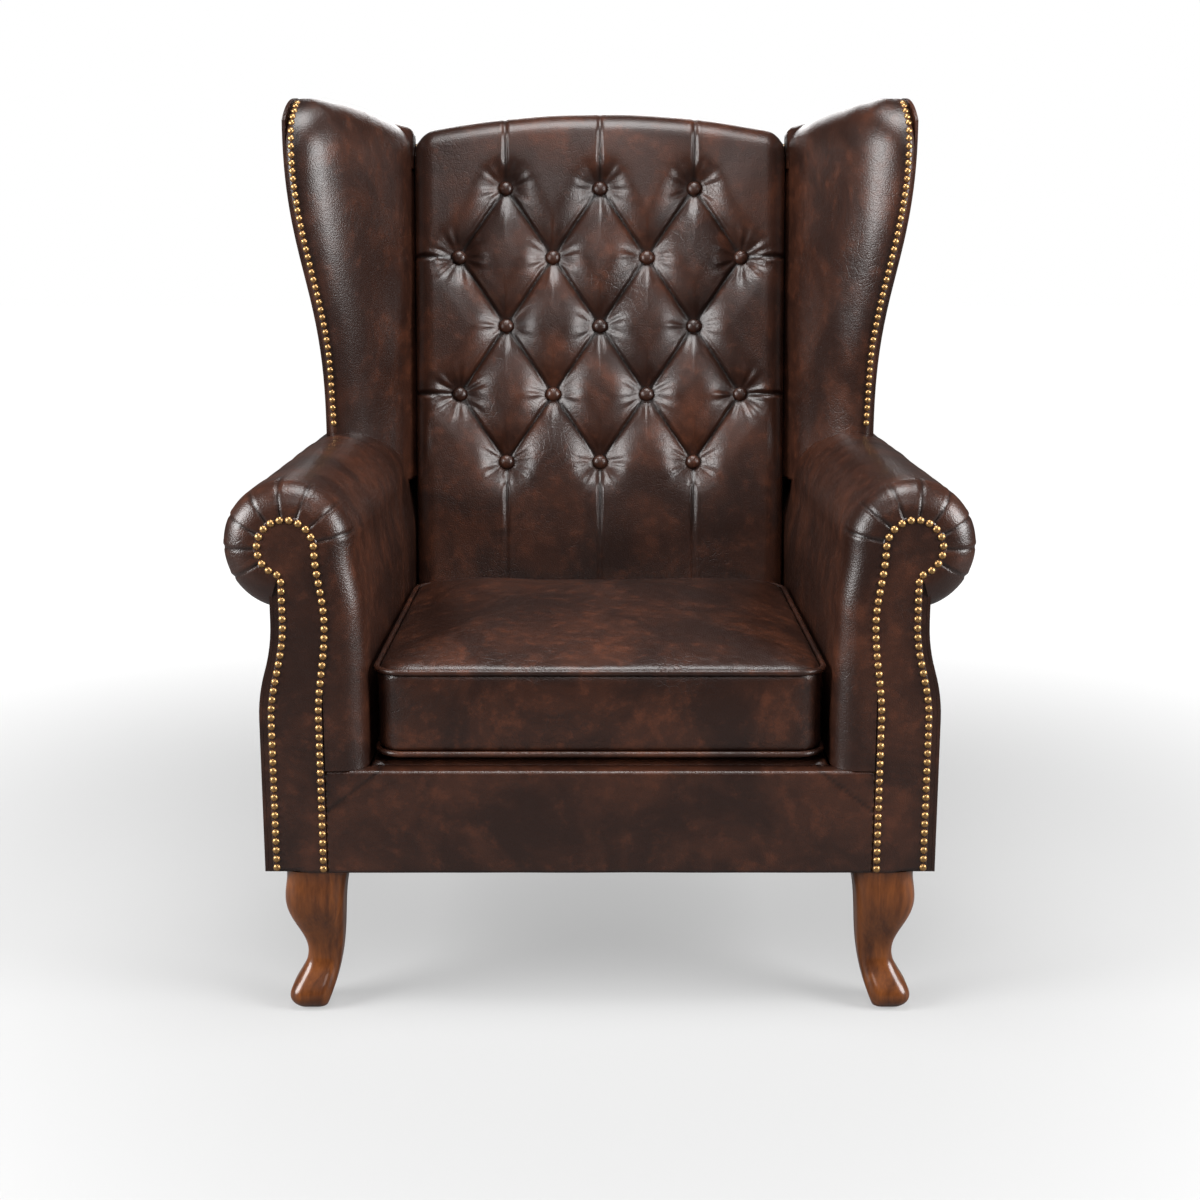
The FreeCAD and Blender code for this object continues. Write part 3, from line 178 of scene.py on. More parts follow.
# A shader socket with arithmetic: an expression on wires adds its Math nodes.
class Wire:
    def __init__(self, tree, socket):
        self.tree = tree
        self.socket = socket

    def node(self, kind, settings=None, inputs=None, out=0):
        made = self.tree.nodes.new(kind)
        for key, value in (settings or {}).items():
            setattr(made, key, value)
        for key, value in (inputs or {}).items():
            if isinstance(value, Wire):
                self.tree.links.new(value.socket, made.inputs[key])
            else:
                made.inputs[key].default_value = value
        return Wire(self.tree, made.outputs[out])

    def math(self, operation, left, right):
        return self.node("ShaderNodeMath", {"operation": operation}, {0: left, 1: right})

    def __add__(self, other):
        return self.math("ADD", self, other)

    def __radd__(self, other):
        return self.math("ADD", other, self)

    def __sub__(self, other):
        return self.math("SUBTRACT", self, other)

    def __rsub__(self, other):
        return self.math("SUBTRACT", other, self)

    def __mul__(self, other):
        return self.math("MULTIPLY", self, other)

    def __rmul__(self, other):
        return self.math("MULTIPLY", other, self)

    def speckle(self, scale, out=0, **more):
        return self.node("ShaderNodeTexNoise", None, {"Vector": self, "Scale": scale, **more}, out)

    def between(self, low, high):
        return self.node("ShaderNodeMapRange", {"interpolation_type": "SMOOTHSTEP"},
                         {"Value": self, "From Min": low, "From Max": high})

    def mixColour(self, first, second):
        return self.node("ShaderNodeMix", {"data_type": "RGBA"}, {"Factor": self, 6: first, 7: second}, out=2)


def newMaterial(name, **constants):
    material = bpy.data.materials.new(name)
    material.use_nodes = True
    tree = material.node_tree
    shader = tree.nodes["Principled BSDF"]
    for key, value in constants.items():
        shader.inputs[key.replace("_", " ")].default_value = value
    place = Wire(tree, tree.nodes.new("ShaderNodeTexCoord").outputs["Object"])
    return material, shader, place


def feed(shader, **wires):
    for key, wire in wires.items():
        wire.tree.links.new(wire.socket, shader.inputs[key.replace("_", " ")])


# The darkest colour is painted shade for folds, seams and button wells; it also darkens the crackle lines,
# the leather's own cracks.
leatherLook = {"dark": (0.0155, 0.0056, 0.0034, 1), "brown": (0.034, 0.0115, 0.0062, 1),
               "red": (0.075, 0.0225, 0.01, 1), "crease": (0.0025, 0.0013, 0.001, 1),
               "patchScale": 10, "fleckScale": 55, "grainScale": 520, "crackleScale": 90, "crackleArea": 11,
               "bendScale": 30, "bend": 0.02, "bump": 0.35, "relief": 0.0012, "rough": 0.24, "coat": 0.05}


def leatherMaterial(name, patchiness, crackle):
    look = leatherLook
    material, shader, place = newMaterial(name, Coat_Roughness=0.24, Specular_IOR_Level=0.34)
    patch = place.speckle(look["patchScale"], Detail=5, Roughness=0.62, Distortion=0.6)
    fleck = place.speckle(look["fleckScale"], Detail=4, Roughness=0.65)
    grain = place.node("ShaderNodeTexVoronoi", {"feature": "F1"},
                       {"Vector": place, "Scale": look["grainScale"]})
    bent = place.speckle(look["bendScale"], out=1, Detail=3)
    bend = place.node("ShaderNodeVectorMath", {"operation": "SCALE"}, {0: bent, "Scale": look["bend"]})
    bentPlace = place.node("ShaderNodeVectorMath", {"operation": "ADD"}, {0: place, 1: bend})
    crackleEdge = place.node("ShaderNodeTexVoronoi", {"feature": "DISTANCE_TO_EDGE"},
                             {"Vector": bentPlace, "Scale": look["crackleScale"]})
    crackleLine = 1 - crackleEdge.between(0.0, 0.09)
    crackleMask = crackleLine * place.speckle(look["crackleArea"], Detail=2).between(0.45, 0.68) * crackle
    # Each piece's vertex mask of painted shade in its folds, seams and wells.
    crease = place.node("ShaderNodeAttribute", {"attribute_name": "crease"}, out=2)
    base = patch.between(0.36, 0.66).mixColour(look["dark"], look["brown"])
    redMask = (patch * 0.4 + fleck * 0.6).between(0.49, 0.68) * patchiness
    base = redMask.mixColour(base, look["red"])
    # Painted shade in folds, seams and wells, and the real crackle lines, both darken towards the darkest
    # colour.
    base = (crease * 0.85 + crackleMask * 0.5).mixColour(base, look["crease"])
    height = 1 - grain.between(0.0, 0.75)
    relief = height * -0.35 + fleck * 0.35 + crackleMask * -1.2 + patch * 0.2
    bump = place.node("ShaderNodeBump", None,
                      {"Strength": look["bump"], "Distance": look["relief"], "Height": relief})
    rough = look["rough"] + fleck * 0.14 + crackleMask * 0.2 + grain * 0.05
    feed(shader, Base_Color=base, Roughness=rough, Normal=bump, Coat_Weight=look["coat"] + patch * 0.06)
    return material


def plainMaterial(name, colour, roughness, metallic=0.0, grainScale=300, spread=0.12):
    material, shader, place = newMaterial(name, Metallic=metallic)
    speck = place.speckle(grainScale, Detail=3)
    low = tuple(c * (1 - spread) for c in colour)
    high = tuple(c * (1 + spread) for c in colour)
    feed(shader, Base_Color=speck.mixColour((*low, 1), (*high, 1)), Roughness=roughness - 0.08 + speck * 0.16)
    return material


legLook = {"dark": (0.035, 0.0095, 0.003, 1), "light": (0.16, 0.047, 0.0095, 1), "ringScale": 38,
           "fibreScale": 420, "stretch": 0.16, "rough": 0.26, "coat": 0.22}


def legMaterial():
    look = legLook
    material, shader, place = newMaterial("legWalnut", Coat_Roughness=0.07, Specular_IOR_Level=0.25)
    along = place.node("ShaderNodeMapping", None, {"Vector": place, "Scale": (1, 1, look["stretch"])})
    rings = along.speckle(look["ringScale"], Detail=5, Roughness=0.6, Distortion=1.4)
    fibre = along.speckle(look["fibreScale"], Detail=2)
    base = (rings * 0.8 + fibre * 0.2).between(0.25, 0.78).mixColour(look["dark"], look["light"])
    feed(shader, Base_Color=base, Roughness=look["rough"] + fibre * 0.14,
         Coat_Weight=look["coat"] + rings * 0.12)
    return material


leather = leatherMaterial("agedLeather", patchiness=0.5, crackle=0.3)
seatLeather = leatherMaterial("creasedSeatLeather", patchiness=0.75, crackle=0.45)
brass = plainMaterial("antiqueBrass", (0.33, 0.19, 0.075), 0.36, metallic=0.9, grainScale=700, spread=0.45)
walnut = legMaterial()
frameWood = plainMaterial("sawnHardwood", (0.42, 0.28, 0.16), 0.7, grainScale=90)
cloth = plainMaterial("wovenCloth", (0.045, 0.04, 0.035), 0.9)
padding = plainMaterial("paddingFelt", (0.6, 0.55, 0.46), 0.95)
steel = plainMaterial("zincSteel", (0.5, 0.5, 0.5), 0.4, metallic=1.0)
zipTape = plainMaterial("zipTape", (0.02, 0.015, 0.013), 0.85)
glide = plainMaterial("glidePlastic", (0.03, 0.03, 0.03), 0.6)
slotMaterials = {"leather": leather, "nail_brass": brass, "leg_wood": walnut, "frame_wood": frameWood,
                 "woven_cloth": cloth, "padding": padding, "bolt_steel": steel, "zip_metal": brass,
                 "zip_tape": zipTape, "glide_plastic": glide}
print("materials ready")


def dress(piece, material, body, slot, *replaced):
    piece.data.materials.clear()
    piece.data.materials.append(material)
    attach(piece, body)
    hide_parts(*replaced)


# Deep-buttoned inside back: one skin over the crest, drawn in along folds between buttons.
tuftedBack = {"halfWidth": 268, "bottom": -272, "crest": 503, "crestDrop": 29, "roll": 30, "topDepth": 104,
              "rearDrop": 18, "padDepth": 60, "hiddenDrop": 45, "hiddenInset": 2, "cell": 2.4,
              "pitch": 68, "rowRise": 98.3, "lowestRow": 3, "rows": 5, "buttonDepth": 21, "buttonFlat": 6,
              "wellRadius": 17, "foldDepth": 15, "foldEnd": 5, "foldReach": 46, "slitDepth": 3.4,
              "slitReach": 2.6, "lip": 1.8, "lipAway": 4.6, "lipReach": 2.4, "lipEnd": 12,
              "pleatDepth": 3.2, "pleatReach": 12, "pleatLip": 5.5, "pleatFade": (30, 125),
              "crestPleat": 260, "footPleat": 300, "sidePleat": 90,
              "wrinkle": 0.5, "wrinkleAway": 26, "wrinkleReach": 15, "outerWrinkle": 1.7,
              "swell": 1.6, "swellScale": 0.012, "swellCap": 1.2, "topCalm": (0.8, 40)}


def buttonPlaces():
    columns = {0: (-2, 0, 2), 1: (-3, -1, 1, 3)}
    return [(column, row) for row in range(tuftedBack["rows"]) for column in columns[row % 2]]


def buttonSpot(column, row):
    return np.array([column * tuftedBack["pitch"], tuftedBack["lowestRow"] + row * tuftedBack["rowRise"]])


def foldLines():
    places = set(buttonPlaces())
    lines = []
    for column, row in sorted(places):
        for lean in (1, -1):
            if (column + lean, row + 1) in places:
                lines.append((buttonSpot(column, row), buttonSpot(column + lean, row + 1)))
    return lines


def pleatLines():
    size = tuftedBack
    lines = []
    for column in (-2, 0, 2):
        for row, run in ((size["rows"] - 1, size["crestPleat"]), (0, -size["footPleat"])):
            lines.append((buttonSpot(column, row), buttonSpot(column, row) + (0, run)))
    for row in (1, 3):
        for column, run in ((-3, -size["sidePleat"]), (3, size["sidePleat"])):
            lines.append((buttonSpot(column, row), buttonSpot(column, row) + (run, 0)))
    return lines


def lineReach(across, rise, start, end):
    run = end - start
    length = np.hypot(*run)
    right, up = across - start[0], rise - start[1]
    along = np.clip((right * run[0] + up * run[1]) / length ** 2, 0, 1)
    away = np.hypot(right - along * run[0], up - along * run[1])
    side = (up * run[0] - right * run[1]) / length * np.sign(run[0] if run[0] else 1)
    return along, away, side


def bell(value, reach, exponent=2):
    return np.exp(-np.abs(value / reach) ** exponent)


def tuftDepth(across, rise):
    size = tuftedBack
    drawn, slit, lip, wrinkle, well = np.zeros((5, *across.shape))
    for start, end in foldLines():
        along, away, side = lineReach(across, rise, start, end)
        middle = np.sin(np.pi * along)
        reach = np.clip(1 - away / size["foldReach"], 0, 1)
        drawn = np.maximum(drawn, (size["foldDepth"] + size["foldEnd"] * (1 - middle)) * reach ** 2)
        slit = np.maximum(slit, bell(away, size["slitReach"], 1.5))
        beside = bell(side - size["lipAway"], size["lipReach"]) * (away < size["lipEnd"])
        lip = np.maximum(lip, beside * np.sqrt(middle))
    for start, end in pleatLines():
        along, away, side = lineReach(across, rise, start, end)
        fade = 1 - smoothStep(along * np.hypot(*(end - start)), *size["pleatFade"])
        reach = np.clip(1 - away / size["pleatReach"], 0, 1)
        drawn = np.maximum(drawn, size["pleatDepth"] * fade * reach ** 2)
        slit = np.maximum(slit, (0.2 + 0.6 * fade) * bell(away, size["slitReach"], 1.5))
        beside = bell(np.abs(side) - size["pleatLip"], size["lipReach"]) * (away < size["lipEnd"])
        lip = np.maximum(lip, (0.15 + 0.55 * fade) * beside)
    for column, row in buttonPlaces():
        right, up = across - buttonSpot(column, row)[0], rise - buttonSpot(column, row)[1]
        away, angle = np.hypot(right, up), np.arctan2(up, right)
        well = np.maximum(well, bell(np.maximum(away - size["buttonFlat"], 0), size["wellRadius"], 1.35))
        strength = size["outerWrinkle"] if abs(column) == 3 else 1.0
        rays = np.sin(11 * angle + 1.7 * column + 2.3 * row) + 0.6 * np.sin(17 * angle + row)
        wrinkle += strength * rays * bell(away - size["wrinkleAway"], size["wrinkleReach"])
    depth = drawn + (size["buttonDepth"] - drawn) * well + size["wrinkle"] * wrinkle
    depth += (size["slitDepth"] * slit - size["lip"] * lip) * (1 - well)
    # The second value is painted shade in the fold slits and button wells.
    return depth, np.clip(slit * 0.9 + well * 0.45, 0, 1)


def crestLine(across):
    size = tuftedBack
    radius = (size["halfWidth"] ** 2 + size["crestDrop"] ** 2) / (2 * size["crestDrop"])
    return size["crest"] - radius + np.sqrt(radius ** 2 - across ** 2)


def behindBack(points):
    size = tuftedBack
    rise = (points[:, 1] - backPlane["faceY"]) * backLean + (points[:, 2] - backPlane["faceZ"]) * backUpright
    limit = size["halfWidth"] - size["hiddenInset"]
    across = np.clip(points[:, 0], -limit, limit)
    return backToSpace(across, size["padDepth"], np.minimum(rise, crestLine(across) - size["hiddenDrop"]))


def buildTuftedBack():
    size = tuftedBack
    roll = size["roll"]
    across = np.linspace(-size["halfWidth"], size["halfWidth"], int(2 * size["halfWidth"] / size["cell"]))
    arc = roll * math.pi / 2
    frontEnd = crestLine(across) - roll
    topRun = size["topDepth"] - roll
    length = frontEnd - size["bottom"] + arc + topRun + size["rearDrop"]
    share = np.linspace(0, 1, int(length.max() / size["cell"]))[:, None]
    path = size["bottom"] + share * length
    over = np.clip((path - frontEnd) / roll, 0, math.pi / 2)
    beyond = np.clip(path - frontEnd - arc, 0, topRun)
    turnedDown = np.maximum(path - frontEnd - arc - topRun, 0)
    rise = np.minimum(path, frontEnd) + roll * np.sin(over) - turnedDown
    depth = roll * (1 - np.cos(over)) + beyond
    wide = np.broadcast_to(across, path.shape)
    drawn, crease = tuftDepth(wide, path)
    edge = np.maximum(roll - size["halfWidth"] + np.abs(wide), 0)
    drawn = drawn + roll - np.sqrt(np.maximum(roll ** 2 - edge ** 2, 0))
    calm, calmRun = size["topCalm"]
    drawn *= 1 - calm * smoothStep(beyond, 0, calmRun)
    swell = noiseField(np.stack([wide, path, np.zeros_like(wide)], -1), size["swellScale"], 3.1)
    drawn = drawn - np.minimum(size["swell"] * swell, size["swellCap"])
    grid = backToSpace(wide, depth + drawn * np.cos(over), rise - drawn * np.sin(over))
    piece = gridObject("tuftedBackLeather", grid)
    # Painted shade in the folds and wells.
    setAttribute(piece, "crease", crease)
    sealBehind(piece, path.shape, behindBack)
    dress(piece, leather, "chair", "leather", "tufted_back")


buildTuftedBack()
print("tufted back made")


# Roll arms: one skin up the inner side and round the roll, gathered into pleats over the front end.
rollArm = {"inner": 270, "foot": 300, "belly": 480, "rollX": 355, "rollZ": 562, "radius": 75, "stopX": 376.3,
           "front": -377, "nose": 33, "flatReach": 48, "rearDepth": 105, "rearRound": 9, "profileCell": 2.6,
           "lengthCell": 4.0, "rearStep": 0.0125, "rearInsets": (20, 40, 60, 74), "pleats": 8,
           "firstPleat": 168, "lastPleat": -30, "pleatDepth": 2.0, "pleatReach": 1.9, "pleatRun": 62,
           "lip": 0.7, "lipAway": 4.6, "lipReach": 3.0, "pullLines": (2, 62, 120), "pullBow": 10,
           "pullDepth": 1.3, "pullReach": 2.6, "pullEnd": (-60, -20), "ridge": 0.7, "ridgeAway": 5.0,
           "ridgeReach": 2.8, "swell": 1.3, "swellScale": 0.013, "swellCap": 1.2}


def armProfile():
    size = rollArm
    side = np.array([[size["inner"], z] for z in np.arange(size["foot"], size["belly"], size["profileCell"])])
    bellyRise = np.arange(size["belly"], size["rollZ"], size["profileCell"])
    swing = size["rollX"] - size["radius"] - size["inner"]
    neckX = size["inner"] + swing * easedShare(bellyRise, size["belly"], size["rollZ"])
    neck = np.stack([neckX, bellyRise], -1)
    stop = math.asin((size["stopX"] - size["rollX"]) / size["radius"])
    angles = np.arange(math.pi, -math.pi / 2 + stop, -size["profileCell"] / size["radius"])
    centre = np.array((size["rollX"], size["rollZ"]))
    roll = centre + size["radius"] * np.stack([np.cos(angles), np.sin(angles)], -1)
    profile = np.vstack([side, neck, roll])
    turn = np.gradient(profile, axis=0)
    inwards = np.stack([turn[:, 1], -turn[:, 0]], -1) / np.hypot(*turn.T)[:, None]
    around = np.degrees(np.arctan2(*(profile - centre).T[::-1]))
    below = len(side) + len(neck)
    around[:below] = 180 + np.degrees((size["rollZ"] - profile[:below, 1]) / size["radius"])
    return profile, inwards, around


# Rows of the skin from the front end to the rear: where each lies along the arm, and how far it is drawn in.
def armRows(rearEnd):
    size = rollArm
    nose, rearRound = size["nose"], size["rearRound"]
    rows = [(size["front"], inset) for inset in np.linspace(size["flatReach"], nose, 7)[:-1]]
    for angle in np.linspace(math.pi / 2, 0, 18):
        rows.append((size["front"] + nose * (1 - math.sin(angle)), nose * (1 - math.cos(angle))))
    rows += [(y, 0.0) for y in np.arange(size["front"] + nose + size["lengthCell"], 0, size["lengthCell"])]
    rows += [(share * (rearEnd - rearRound), 0.0) for share in np.arange(0, 1.0001, size["rearStep"])]
    for angle in np.linspace(0, math.pi / 2, 7)[1:]:
        rows.append((rearEnd - rearRound * (1 - math.sin(angle)), rearRound * (1 - math.cos(angle))))
    rows += [(rearEnd, inset) for inset in size["rearInsets"]]
    return [np.array([np.broadcast_to(row[part], rearEnd.shape) for row in rows], float) for part in (0, 1)]


def armFolds(along, inset, around):
    size = rollArm
    frontShare = np.clip((along - size["front"]) / size["pleatRun"], 0, 1)
    # Besides the depth, a mask of painted shade in the pleats and seam lines.
    depth, crease = np.zeros((2, *along.shape))
    radius = np.maximum(size["radius"] - inset, 20)
    for index, spot in enumerate(np.linspace(size["firstPleat"], size["lastPleat"], size["pleats"])):
        away = np.radians(around - spot) * radius
        reach = 1 - smoothStep(frontShare, 0.25, 0.9 + 0.1 * (index % 2))
        fold = bell(away, size["pleatReach"], 1.4)
        lip = bell(away - size["lipAway"], size["lipReach"])
        depth += (size["pleatDepth"] * fold - size["lip"] * lip) * reach
        crease = np.maximum(crease, 0.8 * fold * reach)
    shown = smoothStep(around, *size["pullEnd"])
    for line in size["pullLines"]:
        away = along - line - size["pullBow"] * np.sin(np.radians(around))
        pull = bell(away, size["pullReach"], 1.5) * shown
        ridge = bell(away + size["ridgeAway"], size["ridgeReach"]) * shown
        depth += size["pullDepth"] * (pull - size["ridge"] * ridge)
        crease = np.maximum(crease, 0.6 * pull)
    return depth, crease, frontShare


def buildArm(side, name):
    size = rollArm
    profile, inwards, around = armProfile()
    along, inset = armRows(backDepthY(size["rearDepth"], profile[:, 1]))
    depth, crease, frontShare = armFolds(along, inset, around)
    grid = np.stack([profile[:, 0] + 0 * along, along, profile[:, 1] + 0 * along], -1)
    depth += size["swell"] * noiseField(grid, size["swellScale"], 5.0 + side) * (frontShare > 0.05)
    depth = np.maximum(depth, -size["swellCap"])
    frontTurn = np.clip(inset / size["nose"], 0, 1) * (along < 0)
    push = inset + depth * (1 - frontTurn)
    grid += np.stack([inwards[:, 0] * push, np.maximum(depth, 0) * frontTurn, inwards[:, 1] * push], -1)
    piece = gridObject(name + "ArmLeather", grid * (side, 1, 1), flip=side < 0)
    # Painted shade in the pleats and seam lines.
    setAttribute(piece, "crease", np.clip(crease, 0, 1))
    dress(piece, leather, "chair", "leather", name + "_arm_pad")


for side, name in sides:
    buildArm(side, name)
print("roll arms made")


# Keyhole facings: flat leather over the front boards, slightly raised in the middle.
armFacing = {"scroll": 37, "neckX": 376, "outerX": 393, "margin": 10, "neckWidth": 57, "footWidth": 64,
             "neckZ": 475, "shoulderZ": 361, "footZ": 176, "front": -377.2, "rear": -372.2, "edge": 1.0,
             "cell": 4.0, "puff": 1.2, "inset": 0.4, "middleX": (351, 337, 352),
             "rise": ((0.0, 0.0), (0.06, 0.75), (0.2, 1.0), (0.45, 1.1), (0.75, 1.15))}


def facingSide(z, outer):
    size = armFacing
    neck = size["neckX"] - size["margin"] - (0 if outer else size["neckWidth"])
    foot = size["outerX"] - size["margin"] - (0 if outer else size["footWidth"])
    low = neck + (foot - neck) * (1 - easedShare(z, size["shoulderZ"], size["neckZ"]))
    if outer:
        return low
    roll = rollArm["rollX"] - size["scroll"]
    return low + (roll - neck) * easedShare(z, size["neckZ"], rollArm["rollZ"])


def facingOutline(inset=0.0):
    size = armFacing
    radius = size["scroll"] - inset
    rise = np.arange(size["footZ"] + inset, rollArm["rollZ"], size["cell"])
    inner = np.stack([facingSide(rise, False) + inset, rise], -1)
    stopX = size["neckX"] - size["margin"] - inset
    stop = -math.acos((stopX - rollArm["rollX"]) / radius)
    angles = np.arange(math.pi, stop, -size["cell"] / radius)
    centre = (rollArm["rollX"], rollArm["rollZ"])
    scroll = centre + radius * np.stack([np.cos(angles), np.sin(angles)], -1)
    fall = np.arange(scroll[-1, 1] - size["cell"], size["footZ"] + inset, -size["cell"])
    outer = np.stack([facingSide(fall, True) - inset, fall], -1)
    outer[:, 0] = np.where(fall > size["neckZ"], stopX, outer[:, 0])
    return np.vstack([inner, scroll, outer])


def buildFacing(side, name):
    size = armFacing
    outline = facingOutline(size["inset"])
    rise = outline[:, 1]
    middleX = np.interp(rise, (size["footZ"], size["neckZ"], rollArm["rollZ"]), size["middleX"])
    middle = np.stack([middleX, np.minimum(rise, rollArm["rollZ"])], -1)
    flats = [(outline, size["rear"])]
    for share, proud in size["rise"]:
        y = size["front"] + size["edge"] - size["puff"] * proud
        flats.append((outline + (middle - outline) * share, y))
    rings = [np.stack([flat[:, 0] * side, np.full(len(flat), y), flat[:, 1]], -1) for flat, y in flats]
    piece = cappedTube(name + "ArmFacing", np.array(rings))
    mergeDoubles(piece)
    dress(piece, leather, "chair", "leather", name + "_arm_facing")


for side, name in sides:
    buildFacing(side, name)
print("arm facings made")


def meshVectors(piece, layer="co"):
    values = np.empty(len(piece.data.vertices) * 3)
    piece.data.vertices.foreach_get(layer, values)
    return values.reshape(-1, 3)


def setPoints(piece, points):
    piece.data.vertices.foreach_set("co", np.asarray(points, float).ravel())
    piece.data.update()


def settle(piece):
    mesh = bpy.data.meshes.new_from_object(piece.evaluated_get(bpy.context.evaluated_depsgraph_get()))
    piece.modifiers.clear()
    piece.data = mesh
    smoothFaces(mesh)


# An evenly meshed, slightly rounded copy of a closed mesh.
def softCopy(name, mesh, voxel, rounds):
    piece = placeInScene(name, mesh.copy())
    with openMesh(piece) as body:
        bmesh.ops.remove_doubles(body, verts=body.verts, dist=mergeReach * 10)
    remesh = piece.modifiers.new("even", "REMESH")
    remesh.mode = "VOXEL"
    remesh.voxel_size = voxel * mm
    smooth = piece.modifiers.new("soften", "SMOOTH")
    smooth.factor = 0.5
    smooth.iterations = rounds
    settle(piece)
    return piece


# Wings: plump leather rolled in from the nailed front edge to the inside back.
wing = {"neckX": 381, "flare": 33, "neckZ": 720, "flareZ": 1010, "rootZ": 562, "rootY": 125, "reach": 85,
        "rise": 450, "panel": 4, "edgeTurn": 6, "noseRound": 8, "cornerZ": 1015, "corner": 70,
        "rearX": 268, "rearDepth": 40, "topZ": 1085, "topFlat": 97, "topFall": 0.12, "topRoll": 30,
        "frontReach": 0.45, "frontRun": 0.03, "rearReach": 0.2, "rearRun": 0.6, "armSink": 4,
        "boardX": 347, "boardInset": 22, "boardRun": 33, "boardDepth": 12, "boardTop": 14, "boardWall": 6,
        "panelTop": ((54, 164, 239, 300), (406, 390, 375, 361)), "cornerLean": 0.18, "panelLean": 0.21,
        "rowCell": 3.6, "postY": 255, "postZ": 1000, "voxel": 4.5, "soften": 5, "rearDroop": 20,
        "droopRun": (343, 371), "swell": 1.6, "swellScale": 0.011, "ripple": 0.6, "rippleScale": 0.03}


def wingFront(height):
    across = wing["neckX"] + wing["flare"] * easedShare(height, wing["neckZ"], wing["flareZ"])
    along = wing["rootY"] - wing["reach"] * easedShare(height, wing["rootZ"], wing["flareZ"])
    return np.stack([across, along, height], -1)


def wingLimits(height):
    size = wing
    front = wingFront(height)
    over = np.clip((height - size["cornerZ"]) / size["corner"], 0, 1)
    back = size["corner"] * (1 - np.sqrt(1 - over ** 2))
    edge = front[..., 0] - size["panel"] - size["cornerLean"] * back
    return edge, front[..., 1] - size["noseRound"] + back, backDepthY(size["rearDepth"], height)


# Share -2 to -1 runs along the outer panel, -1 to 0 round the nailed nose, 0 to 1 over the inner face.
def wingSection(share, height):
    size = wing
    edge, nose, rear = wingLimits(height)
    start = edge - size["noseRound"]
    wide, deep = start - size["rearX"], rear - nose
    inner = np.clip(share, 0, 1)
    weights = ((1 - inner) ** 3, 3 * inner * (1 - inner) ** 2, 3 * inner ** 2 * (1 - inner), inner ** 3)
    frontX, rearX = start - size["frontReach"] * wide, size["rearX"] + size["rearReach"] * wide
    across = (start, frontX, rearX, size["rearX"])
    along = (nose, nose + size["frontRun"] * deep, rear - size["rearRun"] * deep, rear)
    turn = np.clip(-share, 0, 1) * math.pi / 2
    x = sum(weight * value for weight, value in zip(weights, across)) + size["noseRound"] * np.sin(turn)
    y = sum(weight * value for weight, value in zip(weights, along)) + size["noseRound"] * (1 - np.cos(turn))
    tuck = np.clip(-share - 1, 0, 1)
    return x - size["boardInset"] * tuck, y + size["boardDepth"] * tuck


def wingTop(depth):
    return wing["topZ"] - wing["topFall"] * np.maximum(depth - wing["topFlat"], 0)


def wingFoot(across):
    size = rollArm
    rise = np.sqrt(np.maximum(size["radius"] ** 2 - (across - size["rollX"]) ** 2, 0))
    return size["rollZ"] - wing["armSink"] + rise


def wingHeights(share, level, roll):
    height = wing["rootZ"] + wing["rise"] * level + 0 * share
    for _ in range(12):  # until height and section agree
        x, y = wingSection(share, height)
        height = wingFoot(x) + level * (wingTop(y) - roll - wingFoot(x))
    return height


def wingRings(share):
    size = wing
    roll = size["topRoll"] * smoothStep(share, 0, 0.35)
    rows = []
    for level in np.linspace(0, 1, int(size["rise"] / size["rowCell"])):  # up the inner face
        height = wingHeights(share, level, roll)
        rows.append((*wingSection(share, height), height))
    for angle in np.linspace(0, math.pi / 2, 13)[1:]:  # over the rolled top
        height = rows[-1][2]
        for _ in range(8):  # as in wingHeights
            x, y = wingSection(share, height)
            height = wingTop(y) - roll * (1 - math.sin(angle))
        ahead, behind = wingSection(share + 1e-3, height), wingSection(share - 1e-3, height)
        tangent = np.stack([ahead[0] - behind[0], ahead[1] - behind[1]], -1)
        inward = np.stack([tangent[:, 1], -tangent[:, 0]], -1) / np.hypot(*tangent.T)[:, None]
        sink = roll * (1 - math.cos(angle))
        rows.append((x + inward[:, 0] * sink, y + inward[:, 1] * sink, height))
    x, y, height = rows[-1]
    outer = np.maximum(x, np.minimum(np.interp(y, *size["panelTop"]), wingLimits(height)[0]))
    for part in (0.2, 0.4, 0.6, 0.8, 1.0):  # across to the outer panel
        rows.append((x + (outer - x) * part, y, height))
    rows.append((outer, y, height - size["boardTop"]))
    for level in (0.9, 0.6, 0.3, 0.03):  # down beside the board
        height = wingHeights(share, level, roll)
        x, y = wingSection(share, height)
        edge, nose, rear = wingLimits(height)
        forward = np.clip((rear - y) / (rear - nose - size["boardRun"]), 0, 1)
        board = size["boardX"] + (edge - size["boardInset"] - size["boardX"]) * forward
        y = y + size["boardWall"] + 10 * (share < 0.05)
        inside = edge - size["panel"] - size["panelLean"] * np.maximum(y - nose, 0)
        rows.append((np.minimum(np.maximum(board, x + size["boardWall"]), inside), y, height))
    return np.array(rows)


# The pad's own rear end, where it is drawn over the back post, taken from the solid and softened.
def wingRear(name):
    rear = softCopy(name + "WingRear", nodes[name + "_wing_pad"].data, wing["voxel"], wing["soften"])
    with openMesh(rear) as body:
        for place, away in (((0, wing["postY"] * mm, 0), (0, 1, 0)), ((0, 0, wing["postZ"] * mm), (0, 0, 1))):
            everything = body.verts[:] + body.edges[:] + body.faces[:]
            cut = bmesh.ops.bisect_plane(body, geom=everything, dist=mergeReach,
                                         plane_co=place, plane_no=away, clear_inner=True)
            edges = [part for part in cut["geom_cut"] if isinstance(part, bmesh.types.BMEdge)]
            bmesh.ops.holes_fill(body, edges=edges, sides=0)
    points = meshVectors(rear) / mm
    points[:, 2] -= wing["rearDroop"] * smoothStep(points[:, 1], *wing["droopRun"])
    setPoints(rear, points * mm)
    return rear


